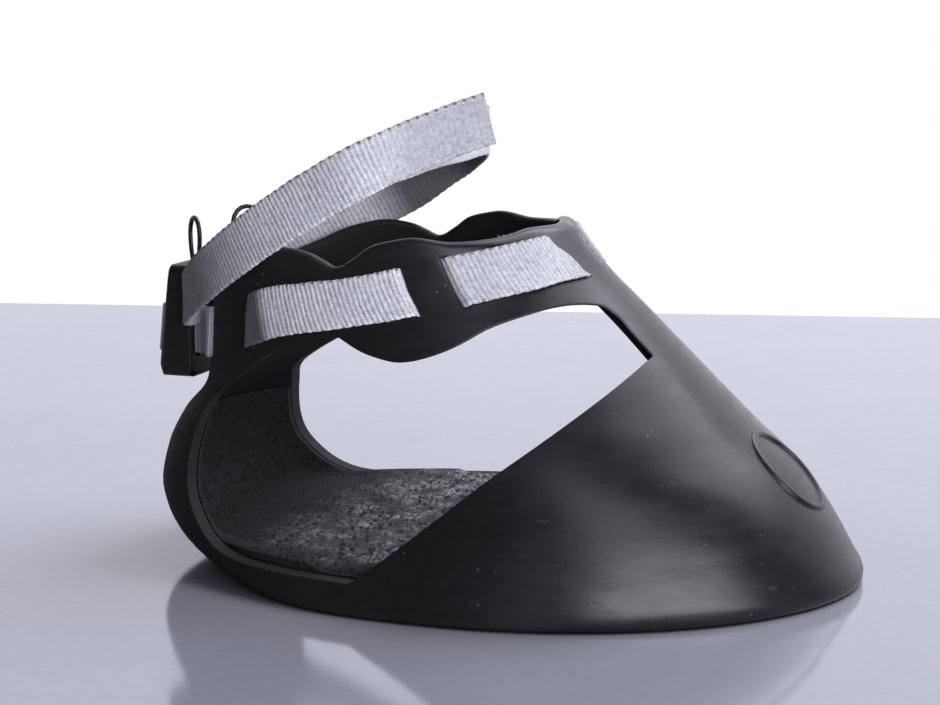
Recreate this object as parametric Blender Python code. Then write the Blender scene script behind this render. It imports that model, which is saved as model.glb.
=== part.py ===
"""Horse hoof boot: a moulded shell with open sides, laced by a coronet strap and closed by a pastern strap.

Frame: the origin is on the ground under the middle of the sole, +X points to the toe, +Z is up,
and -Y is the near side. All lengths are in metres.
"""

import math

import bmesh
import bpy
import numpy as np
from mathutils import Vector

MM = 0.001

# Shell: overall sizes
TOE_REACH = 88.5 * MM
HEEL_REACH = 125.0 * MM
SOLE_HALF_WIDTH = 78.0 * MM
SHELL_HEIGHT = 103.0 * MM
FLOOR_THICKNESS = 8.5 * MM
TOE_WALL = 4.5 * MM
COLLAR_WALL = 3.4 * MM
SOLE_EDGE = 1.2 * MM
RIM_EDGE = 0.9 * MM
# How much further than its own thickness the leaning wall reaches in plan, at the sides and the toe
SIDE_LEAN_SHARE = 1.08
TOE_LEAN_SHARE = 1.38

# Shell: section table, from the ground up. Each row holds shares of the sizes above: height of
# SHELL_HEIGHT, toe of TOE_REACH, heel of HEEL_REACH, width of SOLE_HALF_WIDTH, middle of TOE_REACH.
# The last two values are the roundness of the front and of the rear half.
SECTION_SHARES = (
    (0.000, 0.988, 0.720, 1.000, -0.150, 1.90, 2.9),
    (0.029, 0.992, 0.835, 0.995, -0.150, 1.92, 2.45),
    (0.087, 0.955, 0.945, 0.968, -0.120, 1.97, 2.25),
    (0.146, 0.915, 0.992, 0.931, -0.090, 2.00, 2.2),
    (0.214, 0.862, 1.010, 0.892, -0.080, 2.05, 2.2),
    (0.311, 0.768, 0.995, 0.845, -0.102, 2.10, 2.2),
    (0.417, 0.627, 0.950, 0.794, -0.169, 2.15, 2.2),
    (0.485, 0.546, 0.900, 0.749, -0.237, 2.20, 2.2),
    (0.515, 0.511, 0.888, 0.730, -0.271, 2.20, 2.2),
    (0.583, 0.434, 0.880, 0.691, -0.350, 2.20, 2.2),
    (0.738, 0.254, 0.872, 0.615, -0.508, 2.20, 2.2),
    (0.854, 0.113, 0.864, 0.576, -0.576, 2.20, 2.2),
    (1.010, -0.034, 0.864, 0.563, -0.599, 2.20, 2.2),
)

# Shell: height of the collar's rim as a share of SHELL_HEIGHT, by degrees round from the toe
RIM_SHARES = (
    (0, 0.981), (22, 0.985), (40, 0.966), (56, 0.959), (68, 0.971), (76, 0.961), (82, 0.947), (88, 0.913),
    (94, 0.886), (98, 0.903), (103, 0.922), (111, 0.932), (123, 0.913), (136, 0.869), (158, 0.816),
    (180, 0.801),
)

# Rings of the shell's grid: shares of SHELL_HEIGHT up to the waist, then shares of the way to the rim
AROUND = 88
LOW_RING_SHARES = (0.030, 0.060, 0.100, 0.150, 0.214, 0.280, 0.350, 0.417, 0.475, 0.515)
HIGH_RING_SHARES = (0.12, 0.30, 0.48, 0.66, 0.84)
INNER_RING_SHARES = (0.515, 0.475, 0.417, 0.350, 0.280, 0.214, 0.150, 0.110)

# Side windows: outline in side view, (x share of HEEL_REACH, z share of SHELL_HEIGHT)
WINDOW_SHARES = (
    (-0.712, 0.553), (-0.754, 0.515), (-0.798, 0.471), (-0.824, 0.345), (-0.830, 0.242), (-0.808, 0.165),
    (-0.760, 0.120), (-0.694, 0.092), (-0.600, 0.0845), (-0.320, 0.0845), (-0.236, 0.161), (-0.147, 0.249),
    (-0.033, 0.363), (0.089, 0.477), (0.170, 0.558), (0.206, 0.600), (0.238, 0.642), (0.186, 0.704),
    (0.141, 0.759), (0.117, 0.780), (0.050, 0.785), (-0.022, 0.763), (-0.088, 0.732), (-0.156, 0.684),
    (-0.219, 0.656), (-0.264, 0.646), (-0.300, 0.649), (-0.362, 0.668), (-0.418, 0.700), (-0.500, 0.690),
    (-0.600, 0.640),
)
TONGUE_HALF_WIDTH = 15.0 * MM
CUT_OVERRUN = 12.0 * MM

# Plain ring moulded on the toe
RING_RADIUS = 12.6 * MM
RING_BAND = 2.2 * MM
RING_RISE = 0.9 * MM
RING_SLOPE_SHARE = 0.25
RING_HEIGHT_SHARE = 0.316
RING_STEPS = 28

# Sole tread
TREAD_DEPTH = 1.6 * MM
TREAD_SLOPE_SHARE = 0.3
TREAD_WIDTH = 5.0 * MM
TREAD_PITCH = 17.0 * MM
TREAD_ROWS = 6
TREAD_HALF_LENGTH_SHARE = 0.62

# Webbing
WEB_WIDTH = 15.0 * MM
WEB_THICKNESS = 1.3 * MM
SEAT_GAP = 0.3 * MM
SLOT_CLEARANCE = 0.7 * MM
SLOT_DEPTH_SHARE = 2.2
# Gap between strap and collar as a share of SEAT_GAP, and the wall's depth there of COLLAR_WALL
WEAVE_GAP_SHARE = 1.6
WEAVE_WALL_SHARE = 1.16

# Coronet strap: height of its centre line as a share of SHELL_HEIGHT, by degrees round from the toe
STRAP_SHARES = (
    (0, 0.905), (13, 0.904), (26, 0.902), (40, 0.888), (52, 0.872), (63, 0.854), (77, 0.825), (90, 0.798),
    (103, 0.777), (115, 0.757), (126, 0.724), (140, 0.687), (156, 0.651), (168, 0.634), (180, 0.631),
)
# Slots in the collar on each side, degrees round from the toe: (start, end, outside before the slot)
SLOT_DEGREES = (
    (13.0, 26.0, False), (51.0, 63.0, True), (77.0, 89.0, False), (113.0, 125.5, True), (149.0, 161.0, False),
)
DIVE_SHARES = (0.03, 0.56)
STRAP_STEP_DEGREES = 3.0
STRAP_LEAVES_WALL_DEGREES = 162.0
LEAD_STEPS = 5

# Heel block: it hangs behind the collar and holds the ends of both straps
BLOCK_WIDTH = 23.0 * MM
BLOCK_THICKNESS = 11.5 * MM
BLOCK_BELOW_SLOT = 6.2 * MM
BLOCK_ABOVE_SLOT = 2.4 * MM
BLOCK_LEAN = 3.6 * MM
BLOCK_STANDOFF = 7.0 * MM
BLOCK_EDGE = 1.3 * MM
BLOCK_SLOT_CENTRE = 6.9 * MM
TAIL_LENGTH = 12.0 * MM
PATCH_THICKNESS = 0.9 * MM

# Pastern strap: a rising oval loop whose ends run into the heel block. Its rear follows the heel. The
# height shares, of SHELL_HEIGHT, are the height at the rear, the climb to the front and how much the
# climb flattens.
PASTERN_FRONT = -27.2 * MM
PASTERN_REAR_SHARE = 0.944
PASTERN_ROUNDNESS = 2.0
PASTERN_HEIGHT_SHARES = (0.7146, 0.652, 0.115)
PASTERN_FAR_DROP = 4.6 * MM
FAR_RISE_DEGREES = 62.0
FAR_TUCK = 3.4 * MM
FAR_TUCK_DEGREES = 46.0
PASTERN_SIDE_GAP = 1.2 * MM
PASTERN_ROOT_DEGREES = 112.5
PASTERN_LEAVES_OVAL_DEGREES = 157.0
PASTERN_END_SHARE = 0.7243
PASTERN_NEAR_END_DEGREES = 18.0
PASTERN_FAR_WRAP_DEGREES = 58.0
PASTERN_STEP_DEGREES = 4.5
NEAR_SPRING = 7.7 * MM
SPRING_DEGREES = (62.0, 16.0)
ROOT_SWING_ROOM = 3.0 * MM
ROOT_GAP_SHARE = 1.3
ROUND_END_SHARES = (0.985, 0.90, 0.72, 0.45, 0.0)
OVERLAP_START_DEGREES = 34.0
OVERLAP_SETTLE_DEGREES = 30.0
PATCH_INSET = 1.5 * MM
TAPE_END_DEGREES = 36.0

# Pull loops and the sleeves that grip them, on the inner face of the pastern strap's fixed ends
LOOP_DEGREES = 155.0
LOOP_BASE_RISE = 0.5 * MM
ROUND_SIDES = 20
LOOP_HEIGHT = 17.0 * MM
LOOP_WIDTH = 9.5 * MM
LOOP_WIRE = 1.4 * MM
LOOP_SPREAD_SHARE = 0.62
LOOP_TAPER_SHARE = 1.3
LOOP_TURN_DEGREES = 47.0
LOOP_POINTS = 22
LOOP_SIDES = 10
SLEEVE_WALL = 0.6 * MM
SLEEVE_HEIGHT = 6.6 * MM
SLEEVE_CORNER_SHARE = 0.9

# Grip pad: speckled rubber on the floor and up the inside of the heel cup
PAD_THICKNESS = 1.5 * MM
PAD_LIP = 0.5 * MM
PAD_COVE = 4.0 * MM
PAD_HEEL_SHARE = 0.40
PAD_HEEL_DEGREES = (112.0, 138.0)
PAD_RINGS = 6

SMOOTH_DEGREES = 38.0
FLATNESS = 0.0005 * MM


def curve_value(points, place):
    """Smooth value at a place of a table of (place, value) rows, without overshoot."""
    xs = [p[0] for p in points]
    ys = [p[1] for p in points]
    if place <= xs[0]:
        return ys[0]
    if place >= xs[-1]:
        return ys[-1]
    k = int(np.searchsorted(xs, place, side="right")) - 1
    slopes = [(ys[i + 1] - ys[i]) / (xs[i + 1] - xs[i]) for i in range(len(xs) - 1)]

    def tangent(i):
        if i == 0:
            return slopes[0]
        if i == len(xs) - 1:
            return slopes[-1]
        if slopes[i - 1] * slopes[i] <= 0:
            return 0.0
        return 2 * slopes[i - 1] * slopes[i] / (slopes[i - 1] + slopes[i])

    span = xs[k + 1] - xs[k]
    t = (place - xs[k]) / span
    a = (1 + 2 * t) * (1 - t) ** 2
    b = t * (1 - t) ** 2
    c = t * t * (3 - 2 * t)
    d = t * t * (t - 1)
    return a * ys[k] + b * span * tangent(k) + c * ys[k + 1] + d * span * tangent(k + 1)


def blend(t):
    t = min(1.0, max(0.0, t))
    return t * t * (3 - 2 * t)


def wall_at(height):
    """Wall thickness at a height: the cap is thicker than the collar."""
    low = SECTION_SHARES[7][0] * SHELL_HEIGHT
    high = SECTION_SHARES[10][0] * SHELL_HEIGHT
    return TOE_WALL + (COLLAR_WALL - TOE_WALL) * blend((height - low) / (high - low))


def section(height, inset):
    """Toe, heel, half width, middle and roundness of the plan section at a height."""
    share = height / SHELL_HEIGHT
    column = [curve_value([(row[0], row[i]) for row in SECTION_SHARES], share) for i in range(1, 7)]
    risen = blend(height / (SHELL_HEIGHT * SECTION_SHARES[2][0]))
    toe_lean = 1 + (TOE_LEAN_SHARE - 1) * risen
    toe = column[0] * TOE_REACH - inset * toe_lean
    heel = -column[1] * HEEL_REACH + inset
    width = column[2] * SOLE_HALF_WIDTH - inset * SIDE_LEAN_SHARE
    return toe, heel, width, column[3] * TOE_REACH, column[4], column[5]


def surface(degrees, height, inset=0.0):
    """Point of the shell's surface at an angle round from the toe (near side negative)."""
    toe, heel, width, middle, front, rear = section(height, inset)
    angle = math.radians(degrees)
    c = math.cos(angle)
    s = math.sin(angle)
    power = front if c > 0 else rear
    reach = (abs(c) ** power + abs(s) ** power) ** (-1 / power)
    length = toe - middle if c > 0 else middle - heel
    return Vector((middle + length * c * reach, width * s * reach, height))


def normal_at(degrees, height):
    """Outward normal of the outer surface."""
    turn = 0.5
    step = SHELL_HEIGHT / 400
    across = surface(degrees + turn, height) - surface(degrees - turn, height)
    upward = surface(degrees, height + step) - surface(degrees, height - step)
    return across.cross(upward).normalized()


def rim_height(degrees):
    return curve_value(RIM_SHARES, abs(degrees)) * SHELL_HEIGHT


def material(name, colour, roughness, metallic=0.0):
    made = bpy.data.materials.new(name)
    made.use_nodes = True
    shader = made.node_tree.nodes["Principled BSDF"]
    shader.inputs["Base Color"].default_value = (*colour, 1.0)
    shader.inputs["Roughness"].default_value = roughness
    shader.inputs["Metallic"].default_value = metallic
    return made


def is_flat(face):
    """True where all corners of a face lie in one plane."""
    spot = face.verts[0].co
    return all(abs((v.co - spot).dot(face.normal)) < FLATNESS for v in face.verts)


def add_object(name, bm, finish, origin=(0, 0, 0), cutter=False):
    """Make an object whose mesh, given in world space, is stored about its origin."""
    bmesh.ops.recalc_face_normals(bm, faces=bm.faces)
    bm.normal_update()
    bmesh.ops.triangulate(bm, faces=[face for face in bm.faces if not is_flat(face)])
    bmesh.ops.translate(bm, verts=bm.verts, vec=-Vector(origin))
    mesh = bpy.data.meshes.new(name)
    bm.to_mesh(mesh)
    bm.free()
    made = bpy.data.objects.new(name, mesh)
    bpy.context.scene.collection.objects.link(made)
    made.location = origin
    if cutter:
        made.hide_render = True
        made.display_type = "WIRE"
        return made
    mesh.materials.append(finish)
    mesh.shade_smooth()
    mesh.set_sharp_from_angle(angle=math.radians(SMOOTH_DEGREES))
    return made


def loft(bm, rings, caps=True, closed=False):
    """Skin a list of rings of points; caps close the two ends, closed joins the last to the first."""
    rows = [[bm.verts.new(p) for p in ring] for ring in rings]
    pairs = list(zip(rows, rows[1:]))
    if closed:
        pairs.append((rows[-1], rows[0]))
    for low, high in pairs:
        count = len(low)
        for i in range(count):
            j = (i + 1) % count
            bm.faces.new((low[i], low[j], high[j], high[i]))
    if caps and not closed:
        bm.faces.new(rows[0])
        bm.faces.new(rows[-1])


def prism(bm, outline, low, high):
    """Extrude an outline in the XZ plane along Y."""
    loft(bm, [[Vector((x, y, z)) for x, z in outline] for y in (low, high)])


def cut(target, cutter, operation="DIFFERENCE"):
    made = target.modifiers.new(cutter.name, "BOOLEAN")
    made.operation = operation
    made.object = cutter


def shell_rings():
    """Rings of the shell, up the outside, over the rim and down the inside to the floor."""
    angles = [360.0 * i / AROUND for i in range(AROUND)]
    waist = LOW_RING_SHARES[-1] * SHELL_HEIGHT

    def signed(a):
        return a if a <= 180 else a - 360

    def level(height, inset):
        return [surface(a, height, inset) for a in angles]

    rings = [[surface(a, 0, SOLE_EDGE) for a in angles], level(SOLE_EDGE, 0)]
    rings += [level(share * SHELL_HEIGHT, 0) for share in LOW_RING_SHARES]

    def upper(share, inset, drop=0.0):
        ring = []
        for a in angles:
            height = waist + share * (rim_height(signed(a)) - waist) - drop
            ring.append(surface(a, height, inset * wall_at(height)))
        return ring

    rings += [upper(share, 0) for share in HIGH_RING_SHARES]
    rings += [upper(1.0, 0, RIM_EDGE), upper(1.0, 0.25), upper(1.0, 0.75), upper(1.0, 1.0, RIM_EDGE)]
    rings += [upper(share, 1.0) for share in reversed(HIGH_RING_SHARES)]
    for share in INNER_RING_SHARES:
        height = share * SHELL_HEIGHT
        rings.append(level(height, wall_at(height)))
    rings.append(level(FLOOR_THICKNESS, wall_at(FLOOR_THICKNESS)))
    return rings


def toe_ring_form():
    """Raised plain ring on the toe, half sunk in the wall."""
    bm = bmesh.new()
    height = RING_HEIGHT_SHARE * SHELL_HEIGHT
    centre = surface(0, height)
    out = normal_at(0, height)
    side = Vector((0, 1, 0))
    up = out.cross(side).normalized()
    rings = []
    for i in range(RING_STEPS):
        angle = 2 * math.pi * i / RING_STEPS
        ray = math.cos(angle) * side + math.sin(angle) * up
        section_points = []
        for radius in (RING_RADIUS, RING_RADIUS + RING_BAND):
            spot = centre + ray * radius
            foot = nearest_surface(spot)
            section_points.append((foot, normal_of_point(foot)))
        inner, outer = section_points
        rings.append([
            inner[0] - inner[1] * RING_RISE,
            outer[0] - outer[1] * RING_RISE,
            outer[0] + outer[1] * RING_RISE / 2,
            outer[0] + (inner[0] - outer[0]) * RING_SLOPE_SHARE + outer[1] * RING_RISE,
            inner[0] + (outer[0] - inner[0]) * RING_SLOPE_SHARE + inner[1] * RING_RISE,
            inner[0] + inner[1] * RING_RISE / 2,
        ])
    loft(bm, rings, closed=True)
    return add_object("toe_ring_form", bm, None, cutter=True)


def angle_of_point(spot):
    """Angle round from the toe whose section passes through a point's direction."""
    toe, heel, width, middle, front, rear = section(spot.z, 0)
    length = toe - middle if spot.x > middle else middle - heel
    return math.degrees(math.atan2(spot.y / width, (spot.x - middle) / length))


def nearest_surface(spot):
    """Drop a point near the toe on to the outer surface, at its own height and side place."""
    low = 0.0
    high = 90.0
    for _ in range(40):
        half = (low + high) / 2
        if surface(half, spot.z).y < abs(spot.y):
            low = half
        else:
            high = half
    found = surface(low, spot.z)
    return Vector((found.x, math.copysign(found.y, spot.y), spot.z))


def normal_of_point(spot):
    return normal_at(angle_of_point(spot), spot.z)


def strap_height(degrees):
    return curve_value(STRAP_SHARES, abs(degrees)) * SHELL_HEIGHT


def strap_point(degrees, across, away):
    """Point of the band that follows the wall: across is along its width, away is off the wall."""
    centre = strap_height(degrees)
    step = SHELL_HEIGHT / 200
    up = surface(degrees, centre + step) - surface(degrees, centre - step)
    lean = up.z / up.length
    height = centre + across * lean
    return surface(degrees, height) + normal_at(degrees, height) * away


def strap_offset(degrees):
    """Distance of the coronet strap's centre from the outer surface, weaving through the slots."""
    outside = SEAT_GAP * WEAVE_GAP_SHARE + WEB_THICKNESS / 2
    inside = -(COLLAR_WALL * WEAVE_WALL_SHARE + SEAT_GAP * WEAVE_GAP_SHARE + WEB_THICKNESS / 2)
    place = abs(degrees)
    value = inside
    for start, end, outside_before in SLOT_DEGREES:
        if place < start:
            break
        share = (place - start) / (end - start)
        low, high = DIVE_SHARES
        if outside_before:
            low, high = 1 - high, 1 - low
        t = blend((share - low) / (high - low))
        value = outside + (inside - outside) * (t if outside_before else 1 - t)
    return value


def slot_cutter(bm, start, end, side):
    """A block through the collar wall that follows the strap between two angles."""
    half = WEB_WIDTH / 2 + SLOT_CLEARANCE
    depth = COLLAR_WALL * SLOT_DEPTH_SHARE
    rings = []
    for i in range(5):
        degrees = side * (start + (end - start) * i / 4)
        ring = [strap_point(degrees, w, depth / 2) for w in (-half, 0, half)]
        ring += [strap_point(degrees, w, -depth) for w in (half, 0, -half)]
        rings.append(ring)
    loft(bm, rings)


def make_windows(name, floor):
    """Cutter for both side windows, from the sides to the tongue, no lower than a floor."""
    outline = [(x * HEEL_REACH, max(floor, z * SHELL_HEIGHT)) for x, z in WINDOW_SHARES]
    outline = [p for i, p in enumerate(outline) if p != outline[i - 1]]
    bm = bmesh.new()
    reach = SOLE_HALF_WIDTH + CUT_OVERRUN
    prism(bm, outline, -reach, -TONGUE_HALF_WIDTH)
    prism(bm, outline, TONGUE_HALF_WIDTH, reach)
    return add_object(name, bm, None, cutter=True)


def add_tread(bm):
    """Cross grooves in the sole."""
    start = -(TREAD_ROWS - 1) / 2 * TREAD_PITCH
    for i in range(TREAD_ROWS):
        x = start + i * TREAD_PITCH
        toe, heel, width, middle, front, rear = section(0, 0)
        length = toe - middle if x > middle else middle - heel
        half = width * TREAD_HALF_LENGTH_SHARE * math.sqrt(max(0.1, 1 - ((x - middle) / length) ** 2))
        low = x - TREAD_WIDTH / 2
        high = x + TREAD_WIDTH / 2
        slope = TREAD_DEPTH * TREAD_SLOPE_SHARE
        outline = [(low - slope, -CUT_OVERRUN), (high + slope, -CUT_OVERRUN), (high + slope, 0),
                   (high, TREAD_DEPTH), (low, TREAD_DEPTH), (low - slope, 0)]
        prism(bm, outline, -half, half)


def cylinder(bm, start, end, radius, sides=ROUND_SIDES):
    """Closed cylinder between two points."""
    start = Vector(start)
    end = Vector(end)
    along = (end - start).normalized()
    side = along.orthogonal().normalized()
    other = along.cross(side)
    rings = []
    for centre in (start, end):
        ring = []
        for i in range(sides):
            angle = 2 * math.pi * i / sides
            ring.append(centre + radius * (math.cos(angle) * side + math.sin(angle) * other))
        rings.append(ring)
    loft(bm, rings)


def make_shell(finish):
    bm = bmesh.new()
    loft(bm, shell_rings())
    shell = add_object("shell", bm, finish)
    cut(shell, toe_ring_form(), "UNION")
    cut(shell, make_windows("window_cutter", 0))
    bm = bmesh.new()
    for start, end, _ in SLOT_DEGREES:
        slot_cutter(bm, start, end, -1)
        slot_cutter(bm, start, end, 1)
    add_tread(bm)
    cut(shell, add_object("slot_and_tread_cutter", bm, None, cutter=True))


def make_grip_pad(finish):
    """A tray that lines the floor and climbs the inside of the heel cup."""
    angles = [360.0 * i / AROUND for i in range(AROUND)]
    base = FLOOR_THICKNESS + SEAT_GAP
    low_lip = base + PAD_THICKNESS + PAD_LIP
    heel_lip = PAD_HEEL_SHARE * SHELL_HEIGHT

    def lip(a):
        turn = a if a <= 180 else 360 - a
        start, full = PAD_HEEL_DEGREES
        return low_lip + (heel_lip - low_lip) * blend((turn - start) / (full - start))

    def ring(share, extra, start):
        points = []
        for a in angles:
            height = start + share * (lip(a) - start)
            points.append(surface(a, height, wall_at(height) + SEAT_GAP * 2 + extra))
        return points

    floor_top = base + PAD_THICKNESS
    cove_top = floor_top + PAD_LIP / 2
    rings = [ring(i / PAD_RINGS, 0, base) for i in range(PAD_RINGS + 1)]
    rings += [ring(1 - i / PAD_RINGS, PAD_THICKNESS, cove_top) for i in range(PAD_RINGS + 1)]
    rings.append(ring(0, PAD_THICKNESS + PAD_COVE, floor_top))
    bm = bmesh.new()
    loft(bm, rings)
    pad = add_object("grip_pad", bm, finish)
    cut(pad, make_windows("pad_window_cutter", floor_top + PAD_LIP))


def band(bm, stations):
    """A strap: each station is a list of (inner, outer) points across its width."""
    rings = []
    for pairs in stations:
        rings.append([p[0] for p in pairs] + [p[1] for p in reversed(pairs)])
    loft(bm, rings)


def coronet_station(degrees):
    pairs = []
    centre = strap_offset(degrees)
    for w in (-0.5, 0.0, 0.5):
        inner = strap_point(degrees, w * WEB_WIDTH, centre - WEB_THICKNESS / 2)
        outer = strap_point(degrees, w * WEB_WIDTH, centre + WEB_THICKNESS / 2)
        pairs.append((inner, outer))
    return pairs


def block_front():
    return surface(180, strap_height(180)).x - BLOCK_STANDOFF


def block_slot():
    """Lowest and highest point of the block's slots, which hold the ends of both straps."""
    reach = WEB_WIDTH / 2 + SLOT_CLEARANCE
    return strap_height(180) - reach, PASTERN_END_SHARE * SHELL_HEIGHT + reach


def block_span():
    """Lowest and highest point of the block."""
    low, high = block_slot()
    return low - BLOCK_BELOW_SLOT, high + BLOCK_ABOVE_SLOT


def slot_lanes():
    """Distances from the centre plane of the two straps that share a block slot."""
    step = (WEB_THICKNESS + SEAT_GAP) / 2
    return BLOCK_SLOT_CENTRE - step, BLOCK_SLOT_CENTRE + step


def station(place, along):
    """Inner and outer points across a strap at a place, square to its run."""
    along = along.normalized()
    out = along.cross(Vector((0, 0, 1))).normalized()
    up = out.cross(along).normalized()
    pairs = []
    for w in (-0.5, 0.0, 0.5):
        spot = place + up * (w * WEB_WIDTH)
        pairs.append((spot - out * WEB_THICKNESS / 2, spot + out * WEB_THICKNESS / 2))
    return pairs


def bend(start, leave, end, arrive, steps):
    """Places and directions of a smooth bend after its start, up to its end."""
    pull = (end - start).length
    leave = leave.normalized() * pull
    arrive = arrive.normalized() * pull
    found = []
    for i in range(1, steps + 1):
        t = i / steps
        place = start * (2 * t ** 3 - 3 * t ** 2 + 1) + leave * (t ** 3 - 2 * t ** 2 + t)
        place += end * (3 * t ** 2 - 2 * t ** 3) + arrive * (t ** 3 - t ** 2)
        along = start * (6 * t * t - 6 * t) + leave * (3 * t * t - 4 * t + 1)
        along += end * (6 * t - 6 * t * t) + arrive * (3 * t * t - 2 * t)
        found.append((place, along))
    return found


def coronet_lead(side):
    """Stations from the last place on the wall to the middle of the block's slot."""
    last = STRAP_LEAVES_WALL_DEGREES * side
    away = strap_offset(last) + SEAT_GAP
    start = strap_point(last, 0, away)
    before = strap_point(last - side * STRAP_STEP_DEGREES, 0, away)
    lane = side * slot_lanes()[0]
    end = Vector((block_front(), lane, strap_height(180)))
    inward = Vector((-1, 0, 0))
    places = bend(start, start - before, end, inward, LEAD_STEPS)
    places.append((end + inward * (BLOCK_THICKNESS / 2), inward))
    return [station(place, along * side) for place, along in places]


def make_coronet_strap(finish):
    """The strap that weaves through the collar; its ends run into the heel block."""
    count = int(round(STRAP_LEAVES_WALL_DEGREES / STRAP_STEP_DEGREES))
    stations = list(reversed(coronet_lead(-1)))
    stations += [coronet_station(i * STRAP_STEP_DEGREES) for i in range(-count, count + 1)]
    stations += coronet_lead(1)
    bm = bmesh.new()
    band(bm, stations)
    add_object("coronet_strap", bm, finish)


def rounded_rectangle(half_width, half_height, radius, steps=4):
    """Outline of a rectangle about zero with quarter-round corners."""
    points = []
    for corner, (cx, cy) in enumerate(((1, 1), (-1, 1), (-1, -1), (1, -1))):
        for i in range(steps + 1):
            angle = (corner + i / steps) * math.pi / 2
            points.append((cx * (half_width - radius) + radius * math.cos(angle),
                           cy * (half_height - radius) + radius * math.sin(angle)))
    return points


def make_heel_block(finish):
    """Block with a leaning back and one upright slot on each side for the strap ends."""
    front = block_front()
    bottom, top = block_span()
    middle = (bottom + top) / 2
    half_height = (top - bottom) / 2
    outline = rounded_rectangle(BLOCK_WIDTH / 2, half_height, BLOCK_EDGE * 2)

    def ring(depth, inset):
        points = []
        for y, z in outline:
            scale = 1 - inset / (BLOCK_WIDTH / 2)
            lean = BLOCK_LEAN * (z / half_height + 1) / 2 * depth / BLOCK_THICKNESS
            points.append(Vector((front - depth + lean, y * scale, middle + z * scale)))
        return points

    bm = bmesh.new()
    rings = [ring(0, BLOCK_EDGE / 2), ring(BLOCK_EDGE / 2, 0)]
    rings += [ring(BLOCK_THICKNESS - BLOCK_EDGE, 0), ring(BLOCK_THICKNESS, BLOCK_EDGE)]
    loft(bm, rings)
    block = add_object("heel_block", bm, finish)
    low, high = block_slot()
    wide = WEB_THICKNESS * 2 + SEAT_GAP * 4
    slot = rounded_rectangle(wide / 2, (high - low) / 2, wide / 5, 2)
    bm = bmesh.new()
    for side in (-1, 1):
        rings = []
        for x in (front + CUT_OVERRUN, front - BLOCK_THICKNESS - CUT_OVERRUN):
            rings.append([Vector((x, y + side * BLOCK_SLOT_CENTRE, (high + low) / 2 + z)) for y, z in slot])
        loft(bm, rings)
    cut(block, add_object("block_slot_cutter", bm, None, cutter=True))


def block_back(height):
    """Where the block's leaning back stands at a height."""
    bottom, top = block_span()
    return block_front() - BLOCK_THICKNESS + BLOCK_LEAN * (height - bottom) / (top - bottom)


def make_tail(finish, patch_finish):
    """Free end of the coronet strap over the block's back, and the hook tape under it."""
    height = strap_height(180)
    low = height - WEB_WIDTH / 2
    high = height + WEB_WIDTH / 2
    lean = Vector((block_back(high) - block_back(low), 0, high - low)).normalized()
    out = Vector((-lean.z, 0, lean.x))
    lane = slot_lanes()[0]

    def sheet(name, half_width, inset, away, thickness, start, colour, origin):
        bm = bmesh.new()
        base = Vector((block_back(height), 0, height)) + out * away
        rings = []
        for layer in (0, thickness):
            rings.append([base + out * layer + lean * (k * (WEB_WIDTH / 2 - inset)) + Vector((0, y, 0))
                          for k, y in ((-1, start), (-1, half_width), (1, half_width), (1, start))])
        loft(bm, rings)
        add_object(name, bm, colour, origin=origin)

    outer = SEAT_GAP * 2 + PATCH_THICKNESS
    hinge = Vector((block_back(height), -lane, height)) + out * (outer + WEB_THICKNESS)
    sheet("coronet_tail", TAIL_LENGTH - lane, 0, outer, WEB_THICKNESS, -lane, finish, hinge)
    patch = BLOCK_SLOT_CENTRE - WEB_THICKNESS - SEAT_GAP * 2
    sheet("tail_hook_patch", patch, PATCH_INSET, SEAT_GAP, PATCH_THICKNESS, -patch, patch_finish, (0, 0, 0))


def overlap_inset():
    """How far the far half tucks inside the near half: one strap, two tapes and the gaps."""
    return WEB_THICKNESS + 3 * SEAT_GAP + 2 * PATCH_THICKNESS


def pastern_rear():
    return -PASTERN_REAR_SHARE * HEEL_REACH


def pastern_plan(degrees, height, away):
    """Plan point of the pastern strap at a height, away from its own line."""
    toe, heel, width, middle, front, rear = section(SHELL_HEIGHT, 0)
    widen = max(0.0, section(height, 0)[2] - width)
    angle = math.radians(degrees)
    c = math.cos(angle)
    s = math.sin(angle)
    power = PASTERN_ROUNDNESS
    reach = (abs(c) ** power + abs(s) ** power) ** (-1 / power)
    length = PASTERN_FRONT - middle if c > 0 else middle - pastern_rear()
    x = middle + (length + away) * c * reach
    return Vector((x, (width + widen + away) * s * reach, height))


def pastern_away(degrees, wrap):
    """Distance of the strap's centre line from its oval."""
    away = PASTERN_SIDE_GAP + WEB_THICKNESS / 2
    if wrap:
        tucked = overlap_inset() * blend((OVERLAP_START_DEGREES - degrees) / OVERLAP_SETTLE_DEGREES)
        return away - tucked - FAR_TUCK * blend(1 - abs(degrees) / FAR_TUCK_DEGREES)
    turn = 180 - abs(180 - abs(degrees))
    start, full = SPRING_DEGREES
    return away + NEAR_SPRING * blend((start - turn) / (start - full))


def pastern_centre(degrees, wrap):
    """Centre line of the near half, or of the far half that tucks inside it at the front."""
    rear_share, climb_share, flatten_share = PASTERN_HEIGHT_SHARES
    height = rear_share * SHELL_HEIGHT
    for _ in range(4):
        spot = pastern_plan(degrees, height, pastern_away(degrees, wrap))
        travel = (spot.x - pastern_rear()) / (PASTERN_FRONT - pastern_rear())
        height = SHELL_HEIGHT * (rear_share + travel * (climb_share - travel * flatten_share))
        if wrap:
            drop = blend((PASTERN_ROOT_DEGREES - degrees) / PASTERN_ROOT_DEGREES)
            height -= PASTERN_FAR_DROP * (drop - blend(-degrees / FAR_RISE_DEGREES))
    return Vector((spot.x, spot.y, height))


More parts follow.
